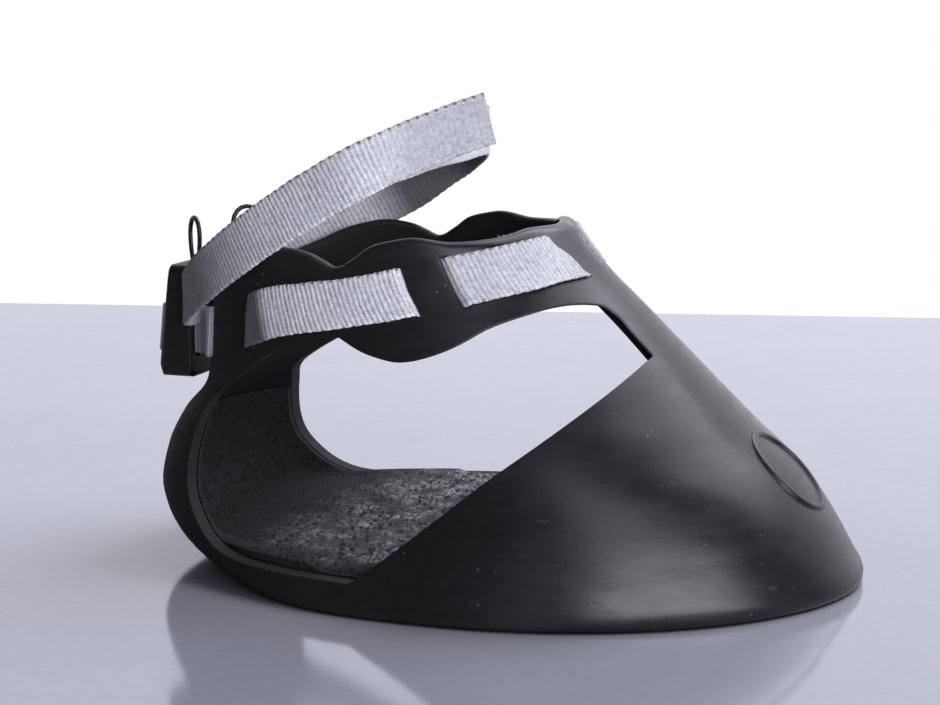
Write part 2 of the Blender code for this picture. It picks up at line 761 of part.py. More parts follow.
def pastern_pair(degrees, across, wrap, offset, thickness):
    """Inner and outer points of the band, a distance across from its centre line."""
    ahead = pastern_centre(degrees + 1, wrap)
    behind = pastern_centre(degrees - 1, wrap)
    centre = pastern_centre(degrees, wrap)
    run = math.hypot(ahead.x - behind.x, ahead.y - behind.y)
    slope = math.atan2(ahead.z - behind.z, run)
    turned_to = degrees - across * math.sin(slope) / (run / 2)
    height = centre.z + across * math.cos(slope)
    away = pastern_away(degrees, wrap) + offset
    return tuple(pastern_plan(turned_to, height, away + s * thickness / 2) for s in (-1, 1))


def pastern_speed(degrees):
    """Length of the pastern strap in one degree."""
    return (pastern_centre(degrees + 0.5, False) - pastern_centre(degrees - 0.5, False)).length


def pastern_band(name, stops, wrap, finish, offset=0.0, thickness=WEB_THICKNESS, origin=(0, 0, 0)):
    """A stretch of the pastern strap or of its tape: stops are (degrees, half width) pairs."""
    stations = []
    for degrees, half in stops:
        stations.append([pastern_pair(degrees, w * half, wrap, offset, thickness) for w in (-1, 0, 1)])
    bm = bmesh.new()
    band(bm, stations)
    return add_object(name, bm, finish, origin=origin)


def even_stops(start, end, half):
    count = max(2, int(round(abs(end - start) / PASTERN_STEP_DEGREES)))
    return [(start + (end - start) * i / count, half) for i in range(count + 1)]


def rounded_start(side):
    """Stops of the half-round end that turns in the anchor's hollow end."""
    half = WEB_WIDTH / 2
    stops = []
    for share in ROUND_END_SHARES:
        degrees = side * (PASTERN_ROOT_DEGREES + share * half / pastern_speed(PASTERN_ROOT_DEGREES))
        stops.append((degrees, half * math.sqrt(1 - share * share)))
    return stops


def pitch_axis():
    """Point on the cross line about which the closed front of the pastern loop tips."""
    root = pastern_centre(-PASTERN_ROOT_DEGREES, False)
    return Vector((root.x, 0, root.z))


def opening_axis():
    """Foot of the line about which the near half swings open, just outside the tip of its round end."""
    half = WEB_WIDTH / 2
    tip = -(PASTERN_ROOT_DEGREES + half / pastern_speed(PASTERN_ROOT_DEGREES))
    return pastern_pair(tip, 0, False, 0, WEB_THICKNESS + 2 * SEAT_GAP)[1]


def pastern_anchor(name, side, finish):
    """Fixed end of the pastern strap, from the heel block to the hollow where the loop tips."""
    half = WEB_WIDTH / 2
    end = PASTERN_ROOT_DEGREES + ROOT_SWING_ROOM / pastern_speed(PASTERN_ROOT_DEGREES)
    stations = []
    for degrees, _ in even_stops(side * end, side * PASTERN_LEAVES_OVAL_DEGREES, half):
        stations.append([pastern_pair(degrees, w * half, False, 0, WEB_THICKNESS) for w in (-1, 0, 1)])
    start = pastern_centre(side * PASTERN_LEAVES_OVAL_DEGREES, False)
    before = pastern_centre(side * (PASTERN_LEAVES_OVAL_DEGREES - 2), False)
    finish_place = Vector((block_front(), side * slot_lanes()[1], PASTERN_END_SHARE * SHELL_HEIGHT))
    inward = Vector((-1, 0, 0))
    places = bend(start, start - before, finish_place, inward, LEAD_STEPS)
    places.append((finish_place + inward * (BLOCK_THICKNESS / 2), inward))
    for place, along in places:
        pairs = station(place, along * side)
        stations.append(pairs)
    bm = bmesh.new()
    band(bm, stations)
    return add_object(name, bm, finish)


def make_pastern_strap(web, hook, pile):
    half = WEB_WIDTH / 2
    axis = pitch_axis()
    reach = Vector((0, SOLE_HALF_WIDTH + CUT_OVERRUN, 0))
    bm = bmesh.new()
    radius = half + SEAT_GAP * ROOT_GAP_SHARE
    cylinder(bm, axis - reach, axis + reach, radius, ROUND_SIDES * 2)
    hollow = add_object("root_hollow_cutter", bm, None, cutter=True)
    cut(pastern_anchor("pastern_anchor_near", -1, web), hollow)
    cut(pastern_anchor("pastern_anchor_far", 1, web), hollow)
    near = rounded_start(-1) + even_stops(-PASTERN_ROOT_DEGREES, -PASTERN_NEAR_END_DEGREES, half)[1:]
    far = rounded_start(1) + even_stops(PASTERN_ROOT_DEGREES, -PASTERN_FAR_WRAP_DEGREES, half)[1:]
    pastern_band("pastern_strap_near", near, False, web, origin=opening_axis())
    pastern_band("pastern_strap_far", far, True, web, origin=axis)
    step = WEB_THICKNESS / 2 + SEAT_GAP + PATCH_THICKNESS / 2
    tape = half - PATCH_INSET
    inner = even_stops(-PASTERN_FAR_WRAP_DEGREES, -TAPE_END_DEGREES, tape)
    pastern_band("pastern_hook_patch", inner, False, hook, -step, PATCH_THICKNESS, opening_axis())
    outer = even_stops(-TAPE_END_DEGREES, -PASTERN_FAR_WRAP_DEGREES + 1, tape)
    pastern_band("pastern_loop_patch", outer, True, pile, step, PATCH_THICKNESS, axis)


def loop_seat(side, plan, long, deep):
    """Foot of a pull loop whose sleeve, long and deep, stands off the strap's inner face."""
    base = pastern_centre(side * LOOP_DEGREES, False).z + LOOP_BASE_RISE
    away = pastern_away(side * LOOP_DEGREES, False) - WEB_THICKNESS / 2
    spot = pastern_plan(side * LOOP_DEGREES, base + SLEEVE_HEIGHT, away)
    front, rear = (pastern_centre(side * (LOOP_DEGREES + turn), False) for turn in (-1, 1))
    inward = Vector((front.y - rear.y, rear.x - front.x, 0)).normalized() * side
    reach = abs(plan.dot(inward)) * long + abs(plan.cross(inward).z) * deep + SEAT_GAP
    return Vector((spot.x, spot.y, base)) + inward * reach


def tube(bm, points, radius, across, sides):
    """Round tube through points that lie in one plane; across is the plane's normal."""
    rings = []
    last = len(points) - 1
    for i, spot in enumerate(points):
        along = (points[min(i + 1, last)] - points[max(i - 1, 0)]).normalized()
        other = along.cross(across).normalized()
        ring = []
        for k in range(sides):
            angle = 2 * math.pi * k / sides
            ring.append(spot + radius * (math.cos(angle) * across + math.sin(angle) * other))
        rings.append(ring)
    loft(bm, rings)


def make_pull_loop(name, side, wire, metal):
    """A teardrop of coated wire whose two legs stand in a sleeve on the pastern strap's fixed end."""
    turn = math.radians(LOOP_TURN_DEGREES)
    plan = Vector((math.cos(turn), side * math.sin(turn), 0))
    across = Vector((-plan.y, plan.x, 0))
    rise = Vector((0, 0, 1))
    leg = LOOP_WIRE / 2 + SEAT_GAP / 2
    bore_long = leg + LOOP_WIRE / 2 + SEAT_GAP
    bore_deep = LOOP_WIRE / 2 + SEAT_GAP
    seat = loop_seat(side, plan, bore_long + SLEEVE_WALL, bore_deep + SLEEVE_WALL)
    base = seat
    rings = []
    for wall, height in ((0, 0), (SLEEVE_WALL, 0), (SLEEVE_WALL, SLEEVE_HEIGHT), (0, SLEEVE_HEIGHT)):
        deep = bore_deep + wall
        outline = rounded_rectangle(bore_long + wall, deep, deep * SLEEVE_CORNER_SHARE)
        rings.append([base + plan * x + across * y + rise * height for x, y in outline])
    bm = bmesh.new()
    loft(bm, rings, closed=True)
    add_object("loop_sleeve_" + name, bm, metal, origin=seat)
    points = [base + plan * leg]
    for i in range(LOOP_POINTS + 1):
        t = 2 * math.pi * i / LOOP_POINTS
        wide = math.sin(t) * math.sin(t / 2) ** LOOP_TAPER_SHARE
        lift = (1 - math.cos(t)) / 2
        place = plan * (wide * LOOP_WIDTH * LOOP_SPREAD_SHARE + leg * math.cos(t / 2))
        points.append(base + place + rise * (SLEEVE_HEIGHT + lift * LOOP_HEIGHT))
    points.append(base - plan * leg)
    bm = bmesh.new()
    tube(bm, points, LOOP_WIRE / 2, across, LOOP_SIDES)
    add_object("pull_loop_" + name, bm, wire, origin=seat)


def clear_scene():
    for item in list(bpy.data.objects):
        bpy.data.objects.remove(item, do_unlink=True)


def main():
    clear_scene()
    moulding = material("shell_moulding", (0.018, 0.019, 0.021), 0.42)
    speckled = material("speckled_rubber", (0.045, 0.044, 0.05), 0.8)
    web = material("silver_webbing", (0.52, 0.52, 0.55), 0.75)
    hook = material("hook_tape", (0.03, 0.03, 0.032), 0.9)
    pile = material("loop_tape", (0.50, 0.50, 0.53), 0.95)
    moulded_black = material("block_plastic", (0.012, 0.012, 0.013), 0.45)
    coated = material("coated_wire", (0.012, 0.012, 0.011), 0.35)
    make_shell(moulding)
    make_grip_pad(speckled)
    make_coronet_strap(web)
    make_heel_block(moulded_black)
    make_tail(web, hook)
    make_pastern_strap(web, hook, pile)
    make_pull_loop("near", -1, coated, moulded_black)
    make_pull_loop("far", 1, coated, moulded_black)


main()
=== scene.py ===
"""Looks of the horse hoof boot: woven straps, tapes, stitching, materials, table, light and camera.

The CAD frame is loaded in metres: +X is the toe, +Z is up, -Y is the near side. The shell, the pad
and each strap are replaced by finer ones, worked out here from the same sizes. Two things differ
from the solids: the tongue is narrower, and the coronet strap comes out further round on the far
side.
"""

import functools
import math

import bmesh
import bpy
import numpy as np
from mathutils import Matrix, Vector, noise


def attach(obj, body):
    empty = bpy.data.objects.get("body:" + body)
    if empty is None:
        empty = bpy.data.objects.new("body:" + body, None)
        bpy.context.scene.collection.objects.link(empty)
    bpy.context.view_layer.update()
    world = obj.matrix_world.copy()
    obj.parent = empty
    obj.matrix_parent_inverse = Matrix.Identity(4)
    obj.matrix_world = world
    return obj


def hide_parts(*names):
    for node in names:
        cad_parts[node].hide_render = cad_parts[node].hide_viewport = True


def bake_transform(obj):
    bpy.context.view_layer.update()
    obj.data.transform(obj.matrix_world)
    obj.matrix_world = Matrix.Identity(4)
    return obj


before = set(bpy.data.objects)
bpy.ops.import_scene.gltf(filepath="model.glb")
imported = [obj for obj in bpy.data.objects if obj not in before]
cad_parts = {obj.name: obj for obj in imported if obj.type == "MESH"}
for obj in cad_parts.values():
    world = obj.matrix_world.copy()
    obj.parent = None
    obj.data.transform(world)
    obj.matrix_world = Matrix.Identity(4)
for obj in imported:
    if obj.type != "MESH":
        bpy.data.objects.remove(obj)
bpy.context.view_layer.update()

MM = 0.001

# Camera, fitted to the photo
IMAGE_WIDTH = 940
IMAGE_HEIGHT = 705
CAMERA_AZIMUTH = 19.0
CAMERA_ELEVATION = 9.5
CAMERA_DISTANCE = 650.0 * MM
CAMERA_RIGHT = -28.66 * MM
CAMERA_UP = 62.24 * MM
FOCAL_PIXELS = 2177.5
SENSOR_WIDTH = 36.0
NEAR_CLIP = 0.01

# Table: its back edge crosses the photo's left and right sides at these pixel rows
EDGE_ROW_LEFT = 303.0
EDGE_ROW_RIGHT = 318.0
TABLE_REACH = 3.0

# Shell sizes, as in the CAD source. Each section has its height, then shares for the toe, the heel,
# the half width and the middle, then the roundness of the front and of the rear.
TOE_REACH = 88.5 * MM
HEEL_REACH = 125.0 * MM
SOLE_HALF_WIDTH = 78.0 * MM
SHELL_HEIGHT = 103.0 * MM
FLOOR_THICKNESS = 8.5 * MM
TOE_WALL = 4.5 * MM
COLLAR_WALL = 3.4 * MM
SIDE_LEAN_SHARE = 1.08
TOE_LEAN_SHARE = 1.38
SECTION_SHARES = (
    (0.000, 0.988, 0.720, 1.000, -0.150, 1.90, 2.9),
    (0.029, 0.992, 0.835, 0.995, -0.150, 1.92, 2.45),
    (0.087, 0.955, 0.945, 0.968, -0.120, 1.97, 2.25),
    (0.146, 0.915, 0.992, 0.931, -0.090, 2.00, 2.2),
    (0.214, 0.862, 1.010, 0.892, -0.080, 2.05, 2.2),
    (0.311, 0.768, 0.995, 0.845, -0.102, 2.10, 2.2),
    (0.417, 0.627, 0.950, 0.794, -0.169, 2.15, 2.2),
    (0.485, 0.546, 0.900, 0.749, -0.237, 2.20, 2.2),
    (0.515, 0.511, 0.888, 0.730, -0.271, 2.20, 2.2),
    (0.583, 0.434, 0.880, 0.691, -0.350, 2.20, 2.2),
    (0.738, 0.254, 0.872, 0.615, -0.508, 2.20, 2.2),
    (0.854, 0.113, 0.864, 0.576, -0.576, 2.20, 2.2),
    (1.010, -0.034, 0.864, 0.563, -0.599, 2.20, 2.2),
)
LEAN_ROW = 2
CAP_TOP_ROW = 7
COLLAR_FOOT_ROW = 10
NORMAL_TURN = 0.5
NORMAL_STEP = SHELL_HEIGHT / 400

# Collar rim, as in the CAD source, by degrees round from the toe
RIM_SHARES = (
    (0, 0.981), (22, 0.985), (40, 0.966), (56, 0.959), (68, 0.971), (76, 0.961), (82, 0.947),
    (88, 0.913), (94, 0.886), (98, 0.903), (103, 0.922), (111, 0.932), (123, 0.913), (136, 0.869),
    (158, 0.816), (180, 0.801),
)
WAIST_SHARE = 0.515
SOLE_EDGE = 1.6 * MM
RIM_EDGE = 1.5 * MM

# Fine grid of the shell
AROUND = 240
RING_DEGREES = [360.0 * i / AROUND for i in range(AROUND)]
LOW_STEPS = 30
HIGH_STEPS = 18
INNER_STEPS = 24
EDGE_STEPS = 6
SMOOTH_DEGREES = 34.0

# Side windows in side view, (x share of HEEL_REACH, z share of SHELL_HEIGHT), and the sharp corners
WINDOW_SHARES = (
    (-0.712, 0.553), (-0.754, 0.520), (-0.796, 0.476), (-0.815, 0.415), (-0.826, 0.345),
    (-0.827, 0.290), (-0.818, 0.235), (-0.790, 0.178), (-0.748, 0.128), (-0.694, 0.097),
    (-0.610, 0.0845), (-0.320, 0.0845), (-0.236, 0.161), (-0.147, 0.249), (-0.033, 0.363),
    (0.089, 0.477), (0.170, 0.558), (0.212, 0.606), (0.238, 0.642), (0.186, 0.704),
    (0.146, 0.752), (0.110, 0.779), (0.050, 0.785), (-0.022, 0.763), (-0.088, 0.732),
    (-0.156, 0.684), (-0.219, 0.656), (-0.264, 0.646), (-0.300, 0.649), (-0.362, 0.668),
    (-0.418, 0.700), (-0.500, 0.690), (-0.600, 0.640),
)
WINDOW_SHARP = (11, 18, 30)
WINDOW_STEPS = 6
WINDOW_LEAST_STEP = 0.05 * MM
CUT_OVERRUN = 12.0 * MM
# The tongue between the windows is a little narrower than in the CAD source, as in the photo
TONGUE_HALF_WIDTH = 12.5 * MM

# Plain ring moulded on the toe
RING_RADIUS = 12.6 * MM
RING_BAND = 2.2 * MM
RING_RISE = 0.9 * MM
RING_HEIGHT_SHARE = 0.316
RING_STEPS = 120
RING_PROFILE = 9
RING_FULLNESS = 0.6
HALVINGS = 40

# Sole tread
TREAD_DEPTH = 1.6 * MM
TREAD_WIDTH = 5.0 * MM
TREAD_PITCH = 17.0 * MM
TREAD_ROWS = 6
TREAD_HALF_LENGTH_SHARE = 0.62
TREAD_SLOPE_SHARE = 0.3
TREAD_LEAST_SHARE = 0.1

# Grip pad: a thin lining whose edge is rounded off
PAD_THICKNESS = 1.5 * MM
PAD_EDGE = 0.4 * MM
PAD_COVE = 4.0 * MM
PAD_EDGE_REACH = 9.0 * MM
PAD_HEEL_SHARE = 0.40
PAD_HEEL_DEGREES = (112.0, 138.0)
PAD_STEPS = 10
PAD_LIP_SHARES = (0.3, 0.7)
WELD_REACH = 0.001 * MM

# Webbing
WEB_WIDTH = 15.0 * MM
WEB_THICKNESS = 1.3 * MM
SEAT_GAP = 0.3 * MM
RIB_PITCH = 1.5 * MM
WARP_PITCH = 0.94 * MM
RIB_DEPTH = 0.055 * MM
SCALLOP_PITCH = 2.9 * MM
SCALLOP_DEPTH = 0.09 * MM
EDGE_WANDER = 0.20 * MM
EDGE_WANDER_PITCH = 9.0 * MM
EDGE_WANDER_ROW = 5
EDGE_POWER = 8
LIP_MOST = 0.3
LIP_SHAPE = ((0.0, 0.0), (0.13, 0.5), (0.5, 0.86), (1.0, 1.0))
CLOTH_SHARP_DEGREES = 60.0
LEAST_STEPS = 4
STATION_STEP = 0.36 * MM

# Coronet strap
STRAP_SHARES = (
    (0, 0.905), (13, 0.904), (26, 0.902), (40, 0.888), (52, 0.872), (63, 0.854), (77, 0.825),
    (90, 0.798), (103, 0.777), (115, 0.757), (126, 0.724), (140, 0.687), (156, 0.651), (168, 0.634),
    (180, 0.631),
)
# Places where the strap's face passes the wall's face: degrees, lean over half the width, and if it
# goes inside. The far side's first one lies further round: the photo shows no strap before it.
SLIT_DEGREES = (
    (16.8, 4.1, False), (62.3, 0.0, True), (74.7, 0.0, False), (128.0, -2.1, True),
    (153.5, 0.0, False),
)
FAR_SLIT_DEGREES = ((29.0, 0.0, False),) + SLIT_DEGREES[1:]
DIVE_DEGREES = 6.8
SLIT_CLEARANCE = 0.22 * MM
SLIT_STEPS = 32
SLIT_OVERRUN_DEGREES = 1.5
COLLAR_PASS_SHARE = 1.16
STRAP_STEP_DEGREES = 0.75
STRAP_LEAVES_WALL_DEGREES = 162.0
LEAD_STEPS = 16

# Heel block
BLOCK_THICKNESS = 11.5 * MM
BLOCK_BELOW_SLOT = 6.2 * MM
BLOCK_ABOVE_SLOT = 2.4 * MM
BLOCK_LEAN = 3.6 * MM
BLOCK_STANDOFF = 7.0 * MM
BLOCK_SLOT_CENTRE = 6.9 * MM
SLOT_CLEARANCE = 0.7 * MM
TAIL_LENGTH = 12.0 * MM
TAIL_STEPS = 8
PATCH_THICKNESS = 0.9 * MM

# Pastern strap
PASTERN_FRONT = -27.2 * MM
PASTERN_REAR = -0.944 * HEEL_REACH
# Height at the rear, climb to the front, and how much the climb flattens
PASTERN_HEIGHT_SHARES = (0.7146, 0.652, 0.115)
FAR_SAG = 2.0 * MM
FAR_SAG_PLACE = -68.0 * MM
FAR_SAG_SPREAD = 12.0 * MM
FAR_TUCK = 5.4 * MM
FAR_TUCK_DEGREES = 85.0
PASTERN_SIDE_GAP = 1.2 * MM
PASTERN_ROOT_DEGREES = 112.5
PASTERN_LEAVES_OVAL_DEGREES = 157.0
PASTERN_END_SHARE = 0.7243
NEAR_LEAVES_DEGREES = 60.0
NEAR_END_LENGTH = 29.0 * MM
NEAR_END_FLATTEN_SHARE = 0.15
NEAR_END_STEPS = 39
HEIGHT_ROUNDS = 4
PASTERN_FAR_WRAP_DEGREES = 58.0
PATH_STEP = 0.5 * MM
PATH_SMOOTH = 13
OVERLAP_START_DEGREES = 34.0
OVERLAP_SETTLE_DEGREES = 30.0
PATCH_INSET = 1.5 * MM
TAPE_LENGTH = 15.0 * MM
TAPE_RIBS = 0.3

# Stretches of the webbing that are darker with painted shade, or smoother: places, soft edges, and
# the share of light that is left. The coronet's are the start and end of its painted shade at the
# rear, and the start of the painted shade on its front.
STRAP_END = 1.0
PAINTED_SHADE_DEGREES = (128.0, 121.5, 68.0)
WEB_PAINTED_SHADE = 0.30
WEB_FRONT_PAINTED_SHADE = 0.82
PAINTED_SHADE_SOFT = 4.0 * MM
PAINTED_SHADE_SHARE = 0.5 * WEB_PAINTED_SHADE
FRONT_SOFT = 2.0 * MM
NEAR_PAINTED_SHADE = 36.0 * MM
NEAR_PAINTED_SHADE_SOFT = 30.0 * MM
NEAR_PLAIN = (-7.0 * MM, 4.0 * MM)
NEAR_END_SOFT = 12.0 * MM
NEAR_END_SHADE = 0.85 * WEB_FRONT_PAINTED_SHADE
# Far half: its ribs fade towards the end, and its inside gets painted shade there
FAR_DIM_LENGTH = 112.0 * MM
FAR_DIM_SOFT = 14.0 * MM
FAR_PAINTED_SHADE = 0.88

# Stitching; its rows run at a share of the strap's half width
STITCH_LENGTH = 2.0 * MM
STITCH_SPACE = 0.7 * MM
STITCH_WIDTH = 0.34 * MM
STITCH_SHARE = 0.86
STITCH_START = 27.0 * MM
STITCH_PLACES = (0.0, 0.08, 0.25, 0.5, 0.75, 0.92, 1.0)
STITCH_SIDES = 8
STITCH_SINK = 0.45
STITCH_POWER = 8
STITCH_LEAST = 0.05

# Colours
MOULDING_DARK = (0.0075, 0.0077, 0.0080)
MOULDING_LIGHT = (0.0130, 0.0132, 0.0142)
# Painted shade for the shell's inside, cut faces and heel
MOULDING_PAINTED_SHADE = (0.002, 0.002, 0.002)
DUST = (0.16, 0.16, 0.175)
# Light grey of the mottled strip on the top of the front
FRONT_STRIP_COLOUR = (0.30, 0.30, 0.31)
WEB_LIGHT = (0.80, 0.80, 0.83)
WEB_DARK = (0.16, 0.16, 0.17)
# Painted shade for the inside of the far half
PAINTED_SHADE_COLOUR = (0.028, 0.028, 0.032)
# Lining colours: the first two where painted light falls, the next two for the painted shade
PAD_MID = (0.090, 0.090, 0.095)
PAD_LIGHT = (0.55, 0.55, 0.57)
PAD_PAINTED_SHADE = (0.010, 0.010, 0.011)
PAD_PAINTED_SHADE_CRUMB = (0.020, 0.020, 0.022)
PIT_COLOUR = (0.006, 0.006, 0.007)
HOOK_LIGHT = (0.05, 0.05, 0.053)
HOOK_DARK = (0.012, 0.012, 0.013)
PILE_LIGHT = (0.42, 0.42, 0.45)
PILE_DARK = (0.16, 0.16, 0.175)
BLOCK_LIGHT = (0.013, 0.013, 0.014)
BLOCK_DARK = (0.0065, 0.0065, 0.007)
WIRE_LIGHT = (0.03, 0.03, 0.032)
WIRE_DARK = (0.006, 0.006, 0.006)
THREAD_LIGHT = (0.78, 0.78, 0.82)
THREAD_DARK = (0.42, 0.42, 0.45)
TABLE_COLOUR = (0.60, 0.605, 0.67)

# In the values of the materials a noise is (scale per metre, detail, roughness, stretch), a ramp is
# (from, to, result there, result there), patches are (noise, ramp), a bump is (depth, strength).

# Moulding
PLAIN_SPECULAR = 0.5
EDGE_SAMPLES = 6
EDGE_TURN = (0.995, 0.80)
MOULD_EDGE = 0.9 * MM
MOULD_AHEAD = (-95 * MM, -30 * MM)
MOULD_CLOUDS = (26.0, 4.0, 0.6)
MOULD_TONE_RAMP = (0.35, 0.68)
MOULD_ROUGH = (0.3, 0.7, 0.25, 0.34)
MOULD_FLOW = (60.0, 3.0, 0.55, (1.0, 1.0, 5.0))
FLOW_ROUGH = (0.4, 0.6, -0.02, 0.03)
MOULD_FINE = (1500.0, 3.0, 0.6)
MOULD_HEIGHTS = (0.35, 0.9)
MOULD_BUMP = (0.10 * MM, 0.55)
MOULD_SPECULAR = 0.34
# Share of the moulding's colour left under the painted shade inside and at the heel
INNER_SHADE_SHARE = 0.35
INNER_ROUGH = 0.42
WORN_PATCHES = ((420.0, 2.0, 0.6), (0.38, 0.62, 0.25, 0.9))
WORN_SHARE = 0.10
SCUFF_MARKS = ((240.0, 2.0, 0.7, (0.12, 1.0, 1.6)), (0.62, 0.72))
SCUFF_ZONES = ((38.0, 2.0), (0.50, 0.66))
SCUFF_SHARE = 0.06
SCUFF_ROUGH = 0.15
SPECK_SCALE = 330.0
SPECK_RAMP = (0.16, 0.07)
SPECK_ZONES = ((90.0, 2.0), (0.58, 0.66))
SPECK_SHARE = 0.40
# Mottled light grey strip along the top of the front, a little to the far side
FRONT_STRIP_HIGH = (86 * MM, 93 * MM)
FRONT_STRIP_NEAR = (2 * MM, 4 * MM)
FRONT_STRIP_FAR = (11 * MM, 9 * MM)
FRONT_STRIP_AHEAD = (-10 * MM, -2 * MM)
FRONT_STRIP_MARKS = ((520.0, 3.0, 0.7), (0.46, 0.60))
FRONT_STRIP_SHARE = 0.7

# Lining
CRUMB_STRETCH = (1.0, 0.28, 1.0)
CRUMB_SCALE = 1400.0
CRUMB_RAMP = (0.2, 0.95)
CRUMB_HEIGHT = -0.4
PIT_SCALE = 720.0
PIT_RAMP = (0.52, 0.40)
PIT_CHOICE = (0.56, 0.62)
PIT_ZONES = ((90.0, 3.0, 0.7), (0.38, 0.50))
PIT_SHARE = 0.93
# Painted light on the lining's floor ahead, with a wandering edge; the rest gets painted shade
WANDER_GRAIN = (60.0, 3.0)
WANDER_REACH = 26 * MM
PAINTED_LIGHT_AHEAD = (-84 * MM, -50 * MM)
PAINTED_LIGHT_LOW = (34 * MM, 14 * MM)
PAINTED_LIGHT_INSIDE = (-62 * MM, -44 * MM)
PAD_CLOUDING = ((110.0, 4.0, 0.65), (0.40, 0.62))
PAINTED_SHADE_CRUMB_RAMP = (0.5, 1.0)
PAD_FINE = (1300.0, 3.0, 0.65)
PAD_FINE_HEIGHT = 0.5
PAD_BUMP = (0.40 * MM, 0.9)
PAD_ROUGH = 0.82
PAD_SPECULAR = 0.22

# Cloth
WOBBLE_GRAIN = (160.0, 2.0)
WOBBLE_REACH = 0.9 * MM
RIB_POWER = 0.6
WARP_LOW = 0.72
RIB_FADE = ((120.0, 3.0, 0.6), (0.40, 0.62, 1.0, 0.55))
PLAIN_RIBS = 0.14
FIBRE_GRAIN = (1500.0, 2.0, 0.7, (1.0, 1.6, 1.0))
FIBRE_TONE = (0.3, 0.7, -0.13, 0.13)
FIBRE_HEIGHT = 0.35
SPECKLE_GRAIN = (620.0, 3.0, 0.75)
SPECKLE_TONE = (0.32, 0.68, -0.20, 0.24)
WEB_CLOUDING = ((70.0, 3.0, 0.6), (0.35, 0.65, -0.08, 0.08))
WEAVE_MIDDLE = 0.62
WEAVE_CONTRAST = 0.42
WEB_TONE = 0.63
NOTCH_RAMP = (0.2, 0.8)
NOTCH_EDGE = (6.3 * MM, 7.2 * MM)
NOTCH_TONE = 0.75
NOTCH_HEIGHT = 0.5
FRAYED_EDGE = (-6.7 * MM, -7.3 * MM)
FRAYED_TONE = (0.4, 0.6, -0.1, 0.4)
WEB_ROUGH = 0.62
WEB_SPECULAR = 0.30
WEB_SHEEN = {"Sheen Weight": 0.12, "Sheen Roughness": 0.45}
WEB_BUMP = (0.22 * MM, 0.8)
HOOK_SCALE = 900.0
PILE_SCALE = 1100.0
TAPE_RAMP = (0.55, 0.1)
TAPE_FUZZ_SCALE = 1.7
TAPE_FUZZ = (3.0, 0.8)
TAPE_FUZZ_SHARE = 0.5
TAPE_TONE = (0.2, 1.2)
TAPE_ROUGH = 0.9
TAPE_SPECULAR = 0.2
TAPE_SHEEN = {"Sheen Weight": 0.3}
TAPE_BUMP = (0.35 * MM, 0.9)
TWIST_GRAIN = (2600.0, 2.0, 0.6)
TWIST_TONE = (0.35, 0.65)
TWIST_BUMP = (0.05 * MM, 0.6)
THREAD_ROUGH = 0.5

# Block, wire and table
BLOCK_EDGE = 0.6 * MM
BLOCK_CLOUDS = (120.0, 3.0, 0.6)
BLOCK_TONE = (0.35, 0.65)
BLOCK_WORN = 0.15
BLOCK_ROUGH = (0.3, 0.7, 0.40, 0.52)
BLOCK_FINE = (1700.0, 2.0, 0.6)
BLOCK_BUMP = (0.06 * MM, 0.6)
BLOCK_SPECULAR = 0.4
RUB_GRAIN = (900.0, 3.0, 0.7, (1.0, 1.0, 0.4))
RUB_TONE = (0.58, 0.72)
RUB_ROUGH = (0.3, 0.7, 0.30, 0.45)
RUB_BUMP = (0.05 * MM, 0.5)
TABLE_CLOUDS = (9.0, 4.0, 0.6)
TABLE_FINE = (260.0, 3.0, 0.7)
TABLE_MIX = 0.7
TABLE_SHARES = (0.93, 1.05)
TABLE_TONE = (0.35, 0.65)
TABLE_ROUGH = 0.10
TABLE_IOR = 2.2
TABLE_BUMP = (0.01 * MM, 0.3)

# Light; a panel is (azimuth from the near side towards the toe, elevation, distance, width, height,
# brightness)
AMBIENT = 0.10
GLOSS_FRONT = 0.08
GLOSS_BEHIND = (0.35, 0.75)
KEY_PANEL = (49.0, 9.5, 1.5, 1.30, 0.82, 8.6)
HIGH_PANEL = (33.0, 37.0, 1.5, 0.75, 0.40, 2.6)
TOP_PANEL = (145.0, 54.0, 1.4, 1.5, 1.3, 3.0)
LIGHT_TINT = (0.955, 0.96, 1.075)


# Curves and the shell's shape

def hermite(t):
    """Shares of a curve's start, leaving direction, end and arriving direction."""
    return (1 + 2 * t) * (1 - t) ** 2, t * (1 - t) ** 2, t * t * (3 - 2 * t), t * t * (t - 1)


def curve_value(points, place):
    """Smooth value at a place of a table of (place, value) rows, without overshoot."""
    xs = [p[0] for p in points]
    ys = [p[1] for p in points]
    if place <= xs[0]:
        return ys[0]
    if place >= xs[-1]:
        return ys[-1]
    k = int(np.searchsorted(xs, place, side="right")) - 1
    slopes = [(ys[i + 1] - ys[i]) / (xs[i + 1] - xs[i]) for i in range(len(xs) - 1)]

    def tangent(i):
        if i == 0:
            return slopes[0]
        if i == len(xs) - 1:
            return slopes[-1]
        if slopes[i - 1] * slopes[i] <= 0:
            return 0.0
        return 2 * slopes[i - 1] * slopes[i] / (slopes[i - 1] + slopes[i])

    span = xs[k + 1] - xs[k]
    a, b, c, d = hermite((place - xs[k]) / span)
    return a * ys[k] + b * span * tangent(k) + c * ys[k + 1] + d * span * tangent(k + 1)


def ease(t):
    t = min(1.0, max(0.0, t))
    return t * t * (3 - 2 * t)


SECTION_COLUMNS = [[(row[0], row[i]) for row in SECTION_SHARES] for i in range(1, 7)]


def wall_at(height):
    """Wall thickness at a height: the cap is thicker than the collar."""
    low = SECTION_SHARES[CAP_TOP_ROW][0] * SHELL_HEIGHT
    high = SECTION_SHARES[COLLAR_FOOT_ROW][0] * SHELL_HEIGHT
    return TOE_WALL + (COLLAR_WALL - TOE_WALL) * ease((height - low) / (high - low))


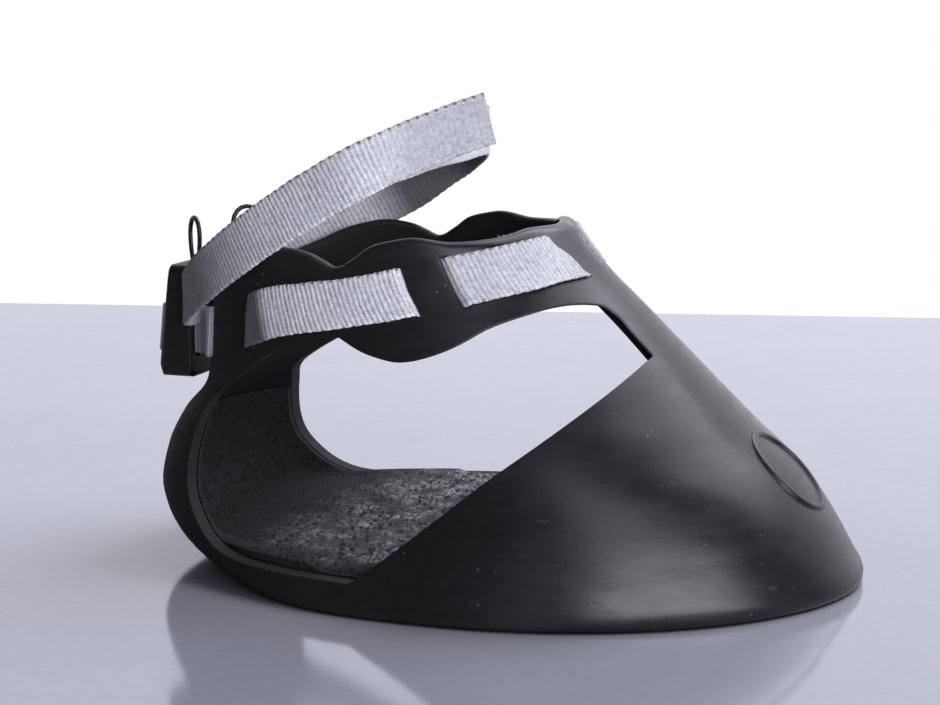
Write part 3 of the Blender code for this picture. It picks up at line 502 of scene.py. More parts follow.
@functools.lru_cache(maxsize=None)
def section(height, inset=0.0):
    """Toe, heel, half width, middle and roundness of the shell's plan section at a height."""
    share = height / SHELL_HEIGHT
    column = [curve_value(points, share) for points in SECTION_COLUMNS]
    risen = ease(height / (SHELL_HEIGHT * SECTION_SHARES[LEAN_ROW][0]))
    toe_lean = 1 + (TOE_LEAN_SHARE - 1) * risen
    toe = column[0] * TOE_REACH - inset * toe_lean
    heel = -column[1] * HEEL_REACH + inset
    width = column[2] * SOLE_HALF_WIDTH - inset * SIDE_LEAN_SHARE
    return toe, heel, width, column[3] * TOE_REACH, column[4], column[5]


def surface(degrees, height, inset=0.0):
    """Point of the shell's outer surface at an angle round from the toe (near side negative)."""
    toe, heel, width, middle, front, rear = section(height, inset)
    angle = math.radians(degrees)
    c = math.cos(angle)
    s = math.sin(angle)
    power = front if c > 0 else rear
    reach = (abs(c) ** power + abs(s) ** power) ** (-1 / power)
    length = toe - middle if c > 0 else middle - heel
    return Vector((middle + length * c * reach, width * s * reach, height))


def normal_at(degrees, height):
    """Outward normal of the outer surface."""
    across = surface(degrees + NORMAL_TURN, height) - surface(degrees - NORMAL_TURN, height)
    upward = surface(degrees, height + NORMAL_STEP) - surface(degrees, height - NORMAL_STEP)
    return across.cross(upward).normalized()


def rim_height(degrees):
    return curve_value(RIM_SHARES, abs(degrees)) * SHELL_HEIGHT


# Paths of the straps

def strap_height(degrees):
    return curve_value(STRAP_SHARES, abs(degrees)) * SHELL_HEIGHT


def strap_point(degrees, across, away):
    """Point of the band that follows the wall: across is along its width, away is off the wall."""
    centre = strap_height(degrees)
    step = 2 * NORMAL_STEP
    up = surface(degrees, centre + step) - surface(degrees, centre - step)
    lean = up.z / up.length
    height = centre + across * lean
    return surface(degrees, height) + normal_at(degrees, height) * away


def strap_offset(degrees, across=0.0):
    """Distance of the coronet strap's centre from the outer surface, weaving through the slits."""
    outside = SEAT_GAP + WEB_THICKNESS / 2
    inside = -(COLLAR_WALL * COLLAR_PASS_SHARE + SEAT_GAP + WEB_THICKNESS / 2)
    passing = (outside + WEB_THICKNESS / 2) / (outside - inside)
    place = abs(degrees)
    value = inside
    for middle, lean, going_in in FAR_SLIT_DEGREES if degrees > 0 else SLIT_DEGREES:
        cross = middle + lean * across / (WEB_WIDTH / 2)
        share = 0.5 - math.sin(math.asin(1 - 2 * passing) / 3)
        low = cross - DIVE_DEGREES * (share if going_in else 1 - share)
        if place < low:
            break
        t = ease((place - low) / DIVE_DEGREES)
        value = outside + (inside - outside) * (t if going_in else 1 - t)
    return value


def coronet_station(degrees, half=WEB_WIDTH / 2, thickness=WEB_THICKNESS):
    pairs = []
    for w in (-1, 0, 1):
        centre = strap_offset(degrees, w * WEB_WIDTH / 2)
        inner = strap_point(degrees, w * half, centre - thickness / 2)
        outer = strap_point(degrees, w * half, centre + thickness / 2)
        pairs.append((inner, outer))
    return pairs


def block_front():
    return surface(180, strap_height(180)).x - BLOCK_STANDOFF


def block_slot():
    reach = WEB_WIDTH / 2 + SLOT_CLEARANCE
    return strap_height(180) - reach, PASTERN_END_SHARE * SHELL_HEIGHT + reach


def block_back(height):
    """Where the block's leaning back stands at a height."""
    low, high = block_slot()
    bottom = low - BLOCK_BELOW_SLOT
    top = high + BLOCK_ABOVE_SLOT
    return block_front() - BLOCK_THICKNESS + BLOCK_LEAN * (height - bottom) / (top - bottom)


def slot_lanes():
    """Distances from the centre plane of the two straps that share a block slot."""
    step = (WEB_THICKNESS + SEAT_GAP) / 2
    return BLOCK_SLOT_CENTRE - step, BLOCK_SLOT_CENTRE + step


def station(place, along, half=WEB_WIDTH / 2, offset=0.0, thickness=WEB_THICKNESS):
    """Inner and outer points across a band at a place, square to its run and an offset outwards."""
    along = along.normalized()
    out = along.cross(Vector((0, 0, 1))).normalized()
    up = out.cross(along).normalized()
    spots = [place + up * (w * half) + out * offset for w in (-1, 0, 1)]
    return [(spot - out * thickness / 2, spot + out * thickness / 2) for spot in spots]


def bend(start, leave, end, arrive, steps):
    """Places and directions of a smooth bend after its start, up to its end."""
    pull = (end - start).length
    leave = leave.normalized() * pull
    arrive = arrive.normalized() * pull
    found = []
    for i in range(1, steps + 1):
        t = i / steps
        a, b, c, d = hermite(t)
        along = (end - start) * (6 * t - 6 * t * t)
        along += leave * (3 * t * t - 4 * t + 1) + arrive * (3 * t * t - 2 * t)
        found.append((start * a + leave * b + end * c + arrive * d, along))
    return found


def lead(start, before, lane, height):
    """Places and directions after a strap's start, to the middle of its slot in the block."""
    end = Vector((block_front(), lane, height))
    inward = Vector((-1, 0, 0))
    places = bend(start, start - before, end, inward, LEAD_STEPS)
    return places + [(end + inward * (BLOCK_THICKNESS / 2), inward)]


def coronet_lead(side):
    """Stations from the last place on the wall to the middle of the block's slot."""
    last = STRAP_LEAVES_WALL_DEGREES * side
    away = strap_offset(last) + SEAT_GAP
    start = strap_point(last, 0, away)
    before = strap_point(last - side * 2 * STRAP_STEP_DEGREES, 0, away)
    places = lead(start, before, side * slot_lanes()[0], strap_height(180))
    return [station(place, along * side) for place, along in places]


def coronet_stations():
    count = int(round(STRAP_LEAVES_WALL_DEGREES / STRAP_STEP_DEGREES))
    stations = list(reversed(coronet_lead(-1)))
    stations += [coronet_station(i * STRAP_STEP_DEGREES) for i in range(-count, count + 1)]
    return stations + coronet_lead(1)


def coronet_run(degrees):
    """Length of the coronet strap from its near end to an angle."""
    count = int(round((STRAP_LEAVES_WALL_DEGREES + degrees) / STRAP_STEP_DEGREES))
    stations = coronet_stations()[:LEAD_STEPS + 2 + count]
    middles = [(pairs[1][0] + pairs[1][1]) / 2 for pairs in stations]
    return sum((b - a).length for a, b in zip(middles, middles[1:]))


def overlap_inset():
    """How far the far half tucks inside the near half: one strap, two tapes and the gaps."""
    return WEB_THICKNESS + 3 * SEAT_GAP + 2 * PATCH_THICKNESS


def pastern_plan(degrees, height, away):
    """Plan point of the pastern strap at a height, away from its own line."""
    middle = section(SHELL_HEIGHT)[3]
    width = section(SHELL_HEIGHT)[2]
    widen = max(0.0, section(height)[2] - width)
    angle = math.radians(degrees)
    c = math.cos(angle)
    s = math.sin(angle)
    length = PASTERN_FRONT - middle if c > 0 else middle - PASTERN_REAR
    return Vector((middle + (length + away) * c, (width + widen + away) * s, height))


def pastern_centre(degrees, wrap):
    """Centre line of the near half, or of the far half that tucks inside it at the front."""
    rear_share, climb_share, flatten_share = PASTERN_HEIGHT_SHARES
    away = PASTERN_SIDE_GAP + WEB_THICKNESS / 2
    if wrap:
        away -= overlap_inset() * ease((OVERLAP_START_DEGREES - degrees) / OVERLAP_SETTLE_DEGREES)
        away -= FAR_TUCK * ease(1 - abs(degrees) / FAR_TUCK_DEGREES)
    height = rear_share * SHELL_HEIGHT
    for _ in range(HEIGHT_ROUNDS):
        spot = pastern_plan(degrees, height, away)
        travel = (spot.x - PASTERN_REAR) / (PASTERN_FRONT - PASTERN_REAR)
        height = SHELL_HEIGHT * (rear_share + travel * (climb_share - travel * flatten_share))
        if wrap:
            height -= FAR_SAG * math.exp(-((spot.x - FAR_SAG_PLACE) / FAR_SAG_SPREAD) ** 2)
    return Vector((spot.x, spot.y, height))


def pastern_speed(degrees):
    """Length of the pastern strap in one degree."""
    return (pastern_centre(degrees + 0.5, False) - pastern_centre(degrees - 0.5, False)).length


def run_lengths(points):
    """Distance of each point of a line from its first one."""
    return np.r_[0, np.cumsum(np.linalg.norm(np.diff(points, axis=0), axis=1))]


def even_places(lengths, step):
    return np.linspace(0, lengths[-1], max(LEAST_STEPS, int(round(lengths[-1] / step))) + 1)


def even_path(points, step=PATH_STEP, spread=PATH_SMOOTH):
    """Points at even steps along a line, smoothed with a moving average that keeps both ends."""
    raw = np.array([list(p) for p in points], float)
    lengths = run_lengths(raw)
    places = even_places(lengths, step)
    found = np.stack([np.interp(places, lengths, raw[:, i]) for i in range(3)], axis=1)
    before = 2 * found[0] - found[spread:0:-1]
    after = 2 * found[-1] - found[-2:-spread - 2:-1]
    longer = np.concatenate([before, found, after])
    kernel = np.hanning(spread + 2)[1:-1]
    kernel /= kernel.sum()
    smooth = np.stack([np.convolve(longer[:, i], kernel, mode="same") for i in range(3)], axis=1)
    return smooth[spread:-spread]


def path_length(path):
    return float(run_lengths(path)[-1])


def block_lead(side):
    """Places of the strap from the middle of the block's slot up to its oval."""
    start = pastern_centre(side * PASTERN_LEAVES_OVAL_DEGREES, side > 0)
    before = pastern_centre(side * (PASTERN_LEAVES_OVAL_DEGREES - 2), side > 0)
    places = lead(start, before, side * slot_lanes()[1], PASTERN_END_SHARE * SHELL_HEIGHT)
    return [place for place, _ in reversed(places)] + [start]


def near_path():
    """Near half from the block round the side, then straight on to its springy end."""
    turns = np.arange(-PASTERN_LEAVES_OVAL_DEGREES, -NEAR_LEAVES_DEGREES + 0.1, 1.0)
    points = block_lead(-1) + [pastern_centre(float(d), False) for d in turns[1:]]
    last = points[-1]
    run = last - points[-4]
    flat = Vector((run.x, run.y, 0))
    climb = run.z / flat.length
    flat.normalize()
    for share in np.linspace(0, 1, NEAR_END_STEPS + 1)[1:]:
        reach = share * NEAR_END_LENGTH
        rise = climb * reach * (1 - NEAR_END_FLATTEN_SHARE * share)
        points.append(last + flat * reach + Vector((0, 0, rise)))
    return even_path(points)


def far_path():
    """Far half from the block round the front, to its end inside the near half."""
    turns = np.arange(PASTERN_LEAVES_OVAL_DEGREES, -PASTERN_FAR_WRAP_DEGREES - 0.1, -1.0)
    points = block_lead(1) + [pastern_centre(float(d), True) for d in turns[1:]]
    return even_path(points)


def ribbon(path, side, half=WEB_WIDTH / 2, offset=0.0, thickness=WEB_THICKNESS):
    """Stations of a band that follows a path, an offset outwards from it."""
    return [station(Vector(place), Vector(run) * -side, half, offset, thickness)
            for place, run in zip(path, np.gradient(path, axis=0))]


def root_tip():
    """Angle of the tip of the near half's round end, about which that half swings open."""
    return PASTERN_ROOT_DEGREES + WEB_WIDTH / 2 / pastern_speed(PASTERN_ROOT_DEGREES)


# Woven bands

def resample(stations, step):
    """Stations at even steps along the middle line, and the distance of each from the start."""
    rows = np.array([[list(p) for pair in pairs for p in pair] for pairs in stations], float)
    middle = (rows[:, 2] + rows[:, 3]) / 2
    lengths = run_lengths(middle)
    places = even_places(lengths, step)
    slopes = np.gradient(rows, lengths, axis=0)
    found = np.empty((len(places),) + rows.shape[1:])
    for i, place in enumerate(places):
        k = min(len(lengths) - 2, max(0, int(np.searchsorted(lengths, place, side="right")) - 1))
        span = lengths[k + 1] - lengths[k]
        a, b, c, d = hermite((place - lengths[k]) / span)
        found[i] = a * rows[k] + b * span * slopes[k] + c * rows[k + 1] + d * span * slopes[k + 1]
    return found, places


def across_profile(thickness, half):
    """(share across, share of the half thickness) round a strap's section, outside first."""
    lip = min(LIP_MOST, thickness / 2 / half)
    outer = [(-1 + inward * lip, height) for inward, height in LIP_SHAPE]
    row = outer + [(i / 5, 1.0) for i in range(-4, 5)] + [(-w, h) for w, h in reversed(outer)]
    return row + [(w, -h) for w, h in reversed(row[1:-1])]


def across_weights(w):
    """Weights of a band's low, middle and high points at a share across it."""
    return w * (w - 1) / 2, 1 - w * w, w * (w + 1) / 2


def woven(name, stations, finish, half=WEB_WIDTH / 2, thickness=WEB_THICKNESS, ribs=1.0, start=0.0):
    """A woven strap through stations, with ribs, a wavy edge and strap coordinates in its UVs."""
    rows, places = resample(stations, STATION_STEP)
    profile = across_profile(thickness, half)
    bm = bmesh.new()
    uv = bm.loops.layers.uv.new("strap")
    grid = []
    for i, place in enumerate(places):
        inner = rows[i, 0::2]
        outer = rows[i, 1::2]
        mid = (inner + outer) / 2
        push = (outer - inner) / 2
        run = start + place
        rib = math.sin(2 * math.pi * run / RIB_PITCH)
        line = []
        for w, h in profile:
            row = math.copysign(EDGE_WANDER_ROW, w)
            lean = noise.noise(Vector((run / EDGE_WANDER_PITCH, row, 0)))
            wave = math.sin(2 * math.pi * run / SCALLOP_PITCH + math.copysign(1, w))
            frill = SCALLOP_DEPTH * wave + EDGE_WANDER * lean
            weights = across_weights(w * (1 + ribs * abs(w) ** EDGE_POWER * frill / half))
            centre = sum(q * p for q, p in zip(weights, mid))
            out = sum(q * p for q, p in zip(weights, push))
            depth = h * (1 + ribs * rib * RIB_DEPTH / thickness)
            line.append(bm.verts.new(centre + out * depth))
        grid.append(line)
    count = len(profile)
    for i in range(len(grid) - 1):
        for k in range(count):
            j = (k + 1) % count
            face = bm.faces.new((grid[i][k], grid[i][j], grid[i + 1][j], grid[i + 1][k]))
            inside = profile[k][1] < 0 or profile[j][1] < 0
            for loop, (row, column) in zip(face.loops, ((i, k), (i, j), (i + 1, j), (i + 1, k))):
                across = profile[column][0] * half
                loop[uv].uv = (start + places[row], across + (1.0 if inside else 0.0))
    for line, row in ((grid[0], 0), (grid[-1], len(grid) - 1)):
        cap = bm.faces.new(line if row else list(reversed(line)))
        for loop in cap.loops:
            loop[uv].uv = (start + places[row], 0.0)
    return finished(name, bm, finish, CLOTH_SHARP_DEGREES)


def placed(name, data):
    """Add an object with its data to the scene."""
    made = bpy.data.objects.new(name, data)
    bpy.context.scene.collection.objects.link(made)
    return made


def from_bmesh(name, bm, finish):
    mesh = bpy.data.meshes.new(name)
    bm.to_mesh(mesh)
    bm.free()
    if finish:
        mesh.materials.append(finish)
    return placed(name, mesh)


def smooth_shade(mesh, sharp=SMOOTH_DEGREES):
    mesh.shade_smooth()
    mesh.set_sharp_from_angle(angle=math.radians(sharp))


def finished(name, bm, finish, sharp=SMOOTH_DEGREES):
    """Turn a bmesh into a smooth shaded object."""
    bmesh.ops.recalc_face_normals(bm, faces=bm.faces)
    made = from_bmesh(name, bm, finish)
    smooth_shade(made.data, sharp)
    return made


def stitch_row(name, line, normals, thread, width=STITCH_WIDTH):
    """Short raised threads along a line of points, each bowed over the cloth."""
    points = np.array(line, float)
    outs = np.array(normals, float)
    lengths = run_lengths(points)

    def between(rows, at):
        return Vector([np.interp(at, lengths, rows[:, i]) for i in range(3)])

    bm = bmesh.new()
    pitch = STITCH_LENGTH + STITCH_SPACE
    for n in range(int(lengths[-1] / pitch)):
        rings = []
        for t in STITCH_PLACES:
            at = n * pitch + t * STITCH_LENGTH
            out = between(outs, at).normalized()
            along = between(points, at + width) - between(points, at - width)
            side = along.normalized().cross(out).normalized()
            size = width / 2 * math.sqrt(max(STITCH_LEAST, 1 - (2 * t - 1) ** STITCH_POWER))
            centre = between(points, at) + out * (width * (math.sin(math.pi * t) - STITCH_SINK))
            rings.append([
                bm.verts.new(centre + size * (math.cos(a) * side + math.sin(a) * out))
                for a in (2 * math.pi * k / STITCH_SIDES for k in range(STITCH_SIDES))
            ])
        for low, high in zip(rings, rings[1:]):
            for k in range(STITCH_SIDES):
                j = (k + 1) % STITCH_SIDES
                face = bm.faces.new((low[k], low[j], high[j], high[k]))
                face.smooth = True
        bm.faces.new(rings[0])
        bm.faces.new(rings[-1])
    bmesh.ops.recalc_face_normals(bm, faces=bm.faces)
    return from_bmesh(name, bm, thread)


def edge_line(stations, across):
    """Line of points on a strap's outer face at a share across, with its normals."""
    line = []
    normals = []
    weights = across_weights(across)
    for pairs in stations:
        inner, outer = (sum((q * pair[i] for q, pair in zip(weights, pairs)), Vector())
                        for i in (0, 1))
        line.append(list(outer))
        normals.append(list((outer - inner).normalized()))
    return line, normals


# Shell and pad

def loft(bm, rings, caps=True, closed=False, skin=0):
    """Skin a list of rings of points; caps close the two ends, closed joins the last to the first.

    Faces below the ring number given as skin get 1 in the UVs, the others 0.
    """
    rows = [[bm.verts.new(p) for p in ring] for ring in rings]
    uv = bm.loops.layers.uv.verify()
    pairs = list(zip(rows, rows[1:]))
    if closed:
        pairs.append((rows[-1], rows[0]))
    for place, (low, high) in enumerate(pairs):
        count = len(low)
        for i in range(count):
            j = (i + 1) % count
            face = bm.faces.new((low[i], low[j], high[j], high[i]))
            for loop in face.loops:
                loop[uv].uv = (1.0, 1.0) if place < skin else (0.0, 0.0)
    if caps and not closed:
        bm.faces.new(rows[0])
        bm.faces.new(rows[-1])


def shell_rings():
    """Rings of the shell, up the outside, over the rounded rim and down the inside to the floor."""
    waist = WAIST_SHARE * SHELL_HEIGHT

    def level(height, inset):
        return [surface(a, height, inset) for a in RING_DEGREES]

    def upper(share, inset, drop=0.0):
        ring = []
        for a in RING_DEGREES:
            signed = a if a <= 180 else a - 360
            height = waist + share * (rim_height(signed) - waist) - drop
            ring.append(surface(a, height, inset * wall_at(height)))
        return ring

    rings = []
    for i in range(EDGE_STEPS + 1):
        turn = math.pi / 2 * i / EDGE_STEPS
        rings.append(level(SOLE_EDGE * (1 - math.cos(turn)), SOLE_EDGE * (1 - math.sin(turn))))
    for i in range(1, LOW_STEPS + 1):
        rings.append(level(SOLE_EDGE + (waist - SOLE_EDGE) * i / LOW_STEPS, 0))
    shares = [i / (HIGH_STEPS + 1) for i in range(1, HIGH_STEPS + 1)]
    rings += [upper(share, 0) for share in shares]
    for i in range(2 * EDGE_STEPS + 1):
        turn = math.pi * i / (2 * EDGE_STEPS)
        rings.append(upper(1.0, (1 - math.cos(turn)) / 2, RIM_EDGE * (1 - math.sin(turn))))
    rings += [upper(share, 1.0) for share in reversed(shares)]
    for i in range(INNER_STEPS + 1):
        height = waist + (FLOOR_THICKNESS - waist) * i / INNER_STEPS
        rings.append(level(height, wall_at(height)))
    return rings


def smooth_outline(corners, steps=WINDOW_STEPS):
    """Closed outline through (x, z, sharp) corners, curved except at the sharp ones."""
    found = []
    count = len(corners)
    for i in range(count):
        p0, p1, p2, p3 = (corners[(i + k) % count] for k in (-1, 0, 1, 2))
        a, b = (np.array(p[:2], float) for p in (p1, p2))
        length = np.linalg.norm(b - a)
        before = b - np.array(p0[:2]) if not p1[2] else b - a
        after = np.array(p3[:2]) - a if not p2[2] else b - a
        before = before / np.linalg.norm(before) * length
        after = after / np.linalg.norm(after) * length
        for k in range(steps):
            shares = hermite(k / steps)
            found.append(tuple(sum(q * p for q, p in zip(shares, (a, before, b, after)))))
    return found


def make_windows(floor):
    """Cutter for both side windows, from the sides to the tongue, no lower than a floor."""
    corners = [(x * HEEL_REACH, z * SHELL_HEIGHT, i in WINDOW_SHARP)
               for i, (x, z) in enumerate(WINDOW_SHARES)]
    outline = []
    for x, z in smooth_outline(corners):
        spot = (x, max(floor, z))
        if not outline or math.dist(outline[-1], spot) > WINDOW_LEAST_STEP:
            outline.append(spot)
    bm = bmesh.new()
    reach = SOLE_HALF_WIDTH + CUT_OVERRUN
    for near, far in ((-reach, -TONGUE_HALF_WIDTH), (TONGUE_HALF_WIDTH, reach)):
        loft(bm, [[Vector((x, y, z)) for x, z in outline] for y in (near, far)])
    return finished("window_cutter", bm, None)


def nearest_surface(spot):
    """Drop a point near the toe on to the outer surface, at its own height and side place."""
    low = 0.0
    high = 90.0
    for _ in range(HALVINGS):
        half = (low + high) / 2
        if surface(half, spot.z).y < abs(spot.y):
            low = half
        else:
            high = half
    found = surface(low, spot.z)
    return Vector((found.x, math.copysign(found.y, spot.y), spot.z)), math.copysign(low, spot.y)


def toe_ring():
    """Raised plain ring on the toe, half sunk in the wall."""
    bm = bmesh.new()
    height = RING_HEIGHT_SHARE * SHELL_HEIGHT
    centre = surface(0, height)
    out = normal_at(0, height)
    side = Vector((0, 1, 0))
    up = out.cross(side).normalized()
    rings = []
    for i in range(RING_STEPS):
        angle = 2 * math.pi * i / RING_STEPS
        ray = math.cos(angle) * side + math.sin(angle) * up
        ends = []
        for radius in (RING_RADIUS, RING_RADIUS + RING_BAND):
            foot, degrees = nearest_surface(centre + ray * radius)
            ends.append((foot, normal_at(degrees, foot.z)))
        (inner, inner_out), (outer, outer_out) = ends
        ring = [inner - inner_out * RING_RISE, outer - outer_out * RING_RISE]
        for k in range(RING_PROFILE):
            turn = math.pi * k / (RING_PROFILE - 1)
            share = (1 - math.cos(turn)) / 2
            spot = outer + (inner - outer) * share
            rise = RING_RISE * math.sin(turn) ** RING_FULLNESS
            ring.append(spot + (outer_out * (1 - share) + inner_out * share) * rise)
        rings.append(ring)
    loft(bm, rings, closed=True, skin=RING_STEPS)
    return finished("toe_ring_form", bm, None)


def slit_cutters():
    """Tight slits through the collar, one for each place where the strap passes the wall."""
    bm = bmesh.new()
    half = WEB_WIDTH / 2 + SLIT_CLEARANCE
    thick = WEB_THICKNESS + 2 * SLIT_CLEARANCE
    for side, slits in ((-1, SLIT_DEGREES), (1, FAR_SLIT_DEGREES)):
        for middle, lean, _ in slits:
            reach = DIVE_DEGREES + abs(lean) + SLIT_OVERRUN_DEGREES
            rings = []
            for i in range(SLIT_STEPS + 1):
                degrees = side * (middle + reach * (2 * i / SLIT_STEPS - 1))
                pairs = coronet_station(degrees, half, thick)
                rings.append([p[0] for p in pairs] + [p[1] for p in reversed(pairs)])
            loft(bm, rings)
    return finished("slit_cutter", bm, None)


def tread_cutter():
    """Cross grooves in the sole."""
    bm = bmesh.new()
    start = -(TREAD_ROWS - 1) / 2 * TREAD_PITCH
    toe, heel, width, middle, _, _ = section(0.0)
    for i in range(TREAD_ROWS):
        x = start + i * TREAD_PITCH
        length = toe - middle if x > middle else middle - heel
        share = math.sqrt(max(TREAD_LEAST_SHARE, 1 - ((x - middle) / length) ** 2))
        half = width * TREAD_HALF_LENGTH_SHARE * share
        low = x - TREAD_WIDTH / 2
        high = x + TREAD_WIDTH / 2
        slope = TREAD_DEPTH * TREAD_SLOPE_SHARE
        outline = [(low - slope, -CUT_OVERRUN), (high + slope, -CUT_OVERRUN), (high + slope, 0),
                   (high, TREAD_DEPTH), (low, TREAD_DEPTH), (low - slope, 0)]
        loft(bm, [[Vector((x, y, z)) for x, z in outline] for y in (-half, half)])
    return finished("tread_cutter", bm, None)


def carve(target, cutters):
    """Apply (operation, cutter) booleans and remove the cutters."""
    for operation, cutter in cutters:
        made = target.modifiers.new(cutter.name, "BOOLEAN")
        made.operation = operation
        made.object = cutter
    bpy.context.view_layer.update()
    graph = bpy.context.evaluated_depsgraph_get()
    mesh = bpy.data.meshes.new_from_object(target.evaluated_get(graph), depsgraph=graph)
    target.modifiers.clear()
    target.data = mesh
    smooth_shade(mesh)
    for _, cutter in cutters:
        bpy.data.objects.remove(cutter, do_unlink=True)


def make_shell(finish):
    bm = bmesh.new()
    # The UVs mark the outer faces; the material puts painted shade on the rest and on the heel
    loft(bm, shell_rings(), skin=3 * EDGE_STEPS + 1 + LOW_STEPS + HIGH_STEPS)
    shell = finished("shell_moulding", bm, finish)
    carve(shell, [("UNION", toe_ring()), ("DIFFERENCE", make_windows(0)),
                  ("DIFFERENCE", slit_cutters()), ("DIFFERENCE", tread_cutter())])
    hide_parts("shell")
    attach(shell, "boot")


def make_pad(finish):
    """Lining with a rounded edge on the floor, which climbs the inside of the heel cup."""
    base = FLOOR_THICKNESS + SEAT_GAP
    top = base + PAD_THICKNESS
    heel_lip = PAD_HEEL_SHARE * SHELL_HEIGHT
    start, full = PAD_HEEL_DEGREES
    columns = []
    for a in RING_DEGREES:
        climb = ease((min(a, 360 - a) - start) / (full - start))
        lip = base + PAD_EDGE + (heel_lip - base - PAD_EDGE) * climb
        cove = PAD_EDGE_REACH + (PAD_COVE - PAD_EDGE_REACH) * climb
        low = min(lip, top + PAD_COVE) if lip > top else lip
        places = [(0, base + (lip - base) * i / PAD_STEPS) for i in range(PAD_STEPS + 1)]
        crown = lip + PAD_THICKNESS * PAD_LIP_SHARES[0] * climb
        places += [(PAD_THICKNESS * s, crown) for s in PAD_LIP_SHARES]
        places += [(PAD_THICKNESS, lip + (low - lip) * i / PAD_STEPS) for i in range(PAD_STEPS)]
        for i in range(PAD_STEPS + 1):
            turn = math.pi / 2 * i / PAD_STEPS
            inset = PAD_THICKNESS + cove * (1 - math.cos(turn))
            places.append((inset, low + (top - low) * math.sin(turn)))
        columns.append([surface(a, z, wall_at(z) + SEAT_GAP * 2 + inset) for inset, z in places])
    bm = bmesh.new()
    loft(bm, [list(ring) for ring in zip(*columns)])
    bmesh.ops.remove_doubles(bm, verts=bm.verts, dist=WELD_REACH)
    pad = finished("rubber_pad", bm, finish)
    carve(pad, [("DIFFERENCE", make_windows(top + PAD_EDGE))])
    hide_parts("grip_pad")
    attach(pad, "boot")


# Materials

class Wire:
    """Output of a shader node; arithmetic with it adds the nodes that this needs."""

    def __init__(self, tree, socket):
        self.tree = tree
        self.socket = socket

    def math(self, operation, *others):
        values = dict(enumerate((self, *others)))
        return add_node(self.tree, "ShaderNodeMath", values, operation=operation)

    def __add__(self, other):
        return self.math("ADD", other)

    def __sub__(self, other):
        return self.math("SUBTRACT", other)

    def __rsub__(self, other):
        return add_node(self.tree, "ShaderNodeMath", {0: other, 1: self}, operation="SUBTRACT")

    def __mul__(self, other):
        return self.math("MULTIPLY", other)

    def split(self):
        return add_node(self.tree, "ShaderNodeSeparateXYZ", {0: self}, 0, 1, 2)

    def stretch(self, shares):
        return add_node(self.tree, "ShaderNodeVectorMath", {0: self, 1: shares},
                        operation="MULTIPLY")

    def ramp(self, low, high, low_out=0.0, high_out=1.0):
        """A straight change from low_out to high_out while this goes from low to high."""
        return add_node(self.tree, "ShaderNodeMapRange", {
            "Value": self, "From Min": low, "From Max": high, "To Min": low_out,
            "To Max": high_out}, "Result")

    def grain(self, scale, detail=2.0, roughness=0.5, shares=None):
        """Noise at a scale per metre, over a place that may be stretched."""
        return add_node(self.tree, "ShaderNodeTexNoise", {
            "Vector": self.stretch(shares) if shares else self, "Scale": scale, "Detail": detail,
            "Roughness": roughness}, "Fac")

    def patches(self, noise, edges):
        """Soft patches where a noise passes from one level to another."""
        return self.grain(*noise).ramp(*edges)

    def cells(self, scale):
        """Distance and colour of cells at a scale per metre."""
        return add_node(self.tree, "ShaderNodeTexVoronoi", {"Vector": self, "Scale": scale},
                        "Distance", "Color")

    def channel(self, number):
        return add_node(self.tree, "ShaderNodeSeparateColor", {"Color": self}, number)

    def mix(self, low, high):
        """Colour between low and high, with this as the share of high."""
        low, high = ((*c, 1.0) if isinstance(c, tuple) else c for c in (low, high))
        return add_node(self.tree, "ShaderNodeMix", {0: self, 6: low, 7: high}, 2, data_type="RGBA")

    def bump(self, distance, strength, under=None):
        inputs = {"Height": self, "Distance": distance, "Strength": strength}
        if under:
            inputs["Normal"] = under
        return add_node(self.tree, "ShaderNodeBump", inputs, "Normal")


def set_inputs(node, inputs):
    """Link or set a node's inputs, given by socket name or number."""
    for key, value in inputs.items():
        if isinstance(value, Wire):
            value.tree.links.new(value.socket, node.inputs[key])
        else:
            node.inputs[key].default_value = value


def add_node(tree, kind, inputs, *wanted, **settings):
    """Add a node and give its wanted outputs, or its first one."""
    made = tree.nodes.new(kind)
    for key, value in settings.items():
        setattr(made, key, value)
    set_inputs(made, inputs)
    found = [Wire(tree, made.outputs[key]) for key in wanted or (0,)]
    return found[0] if len(found) == 1 else found


def start_material(name, kind="ShaderNodeTexCoord", output="Object", **settings):
    """A new material and its coordinates."""
    made = bpy.data.materials.new(name)
    made.use_nodes = True
    return made, add_node(made.node_tree, kind, {}, output, **settings)


def shaded(made, base, roughness, normal, specular=PLAIN_SPECULAR, **others):
    """Finish a material: what varies is linked, and the rest is set on the shader itself."""
    set_inputs(made.node_tree.nodes["Principled BSDF"], {
        "Base Color": base, "Roughness": roughness, "Normal": normal,
        "Specular IOR Level": specular, **others})
    return made


def edge_mask(tree, radius):
    """Rounded normal and a mask of the edges that are sharper than a radius."""
    rounded = add_node(tree, "ShaderNodeBevel", {"Radius": radius}, "Normal", samples=EDGE_SAMPLES)
    plain = add_node(tree, "ShaderNodeNewGeometry", {}, "Normal")
    same = add_node(tree, "ShaderNodeVectorMath", {0: rounded, 1: plain}, "Value",
                    operation="DOT_PRODUCT")
    return rounded, same.ramp(*EDGE_TURN)


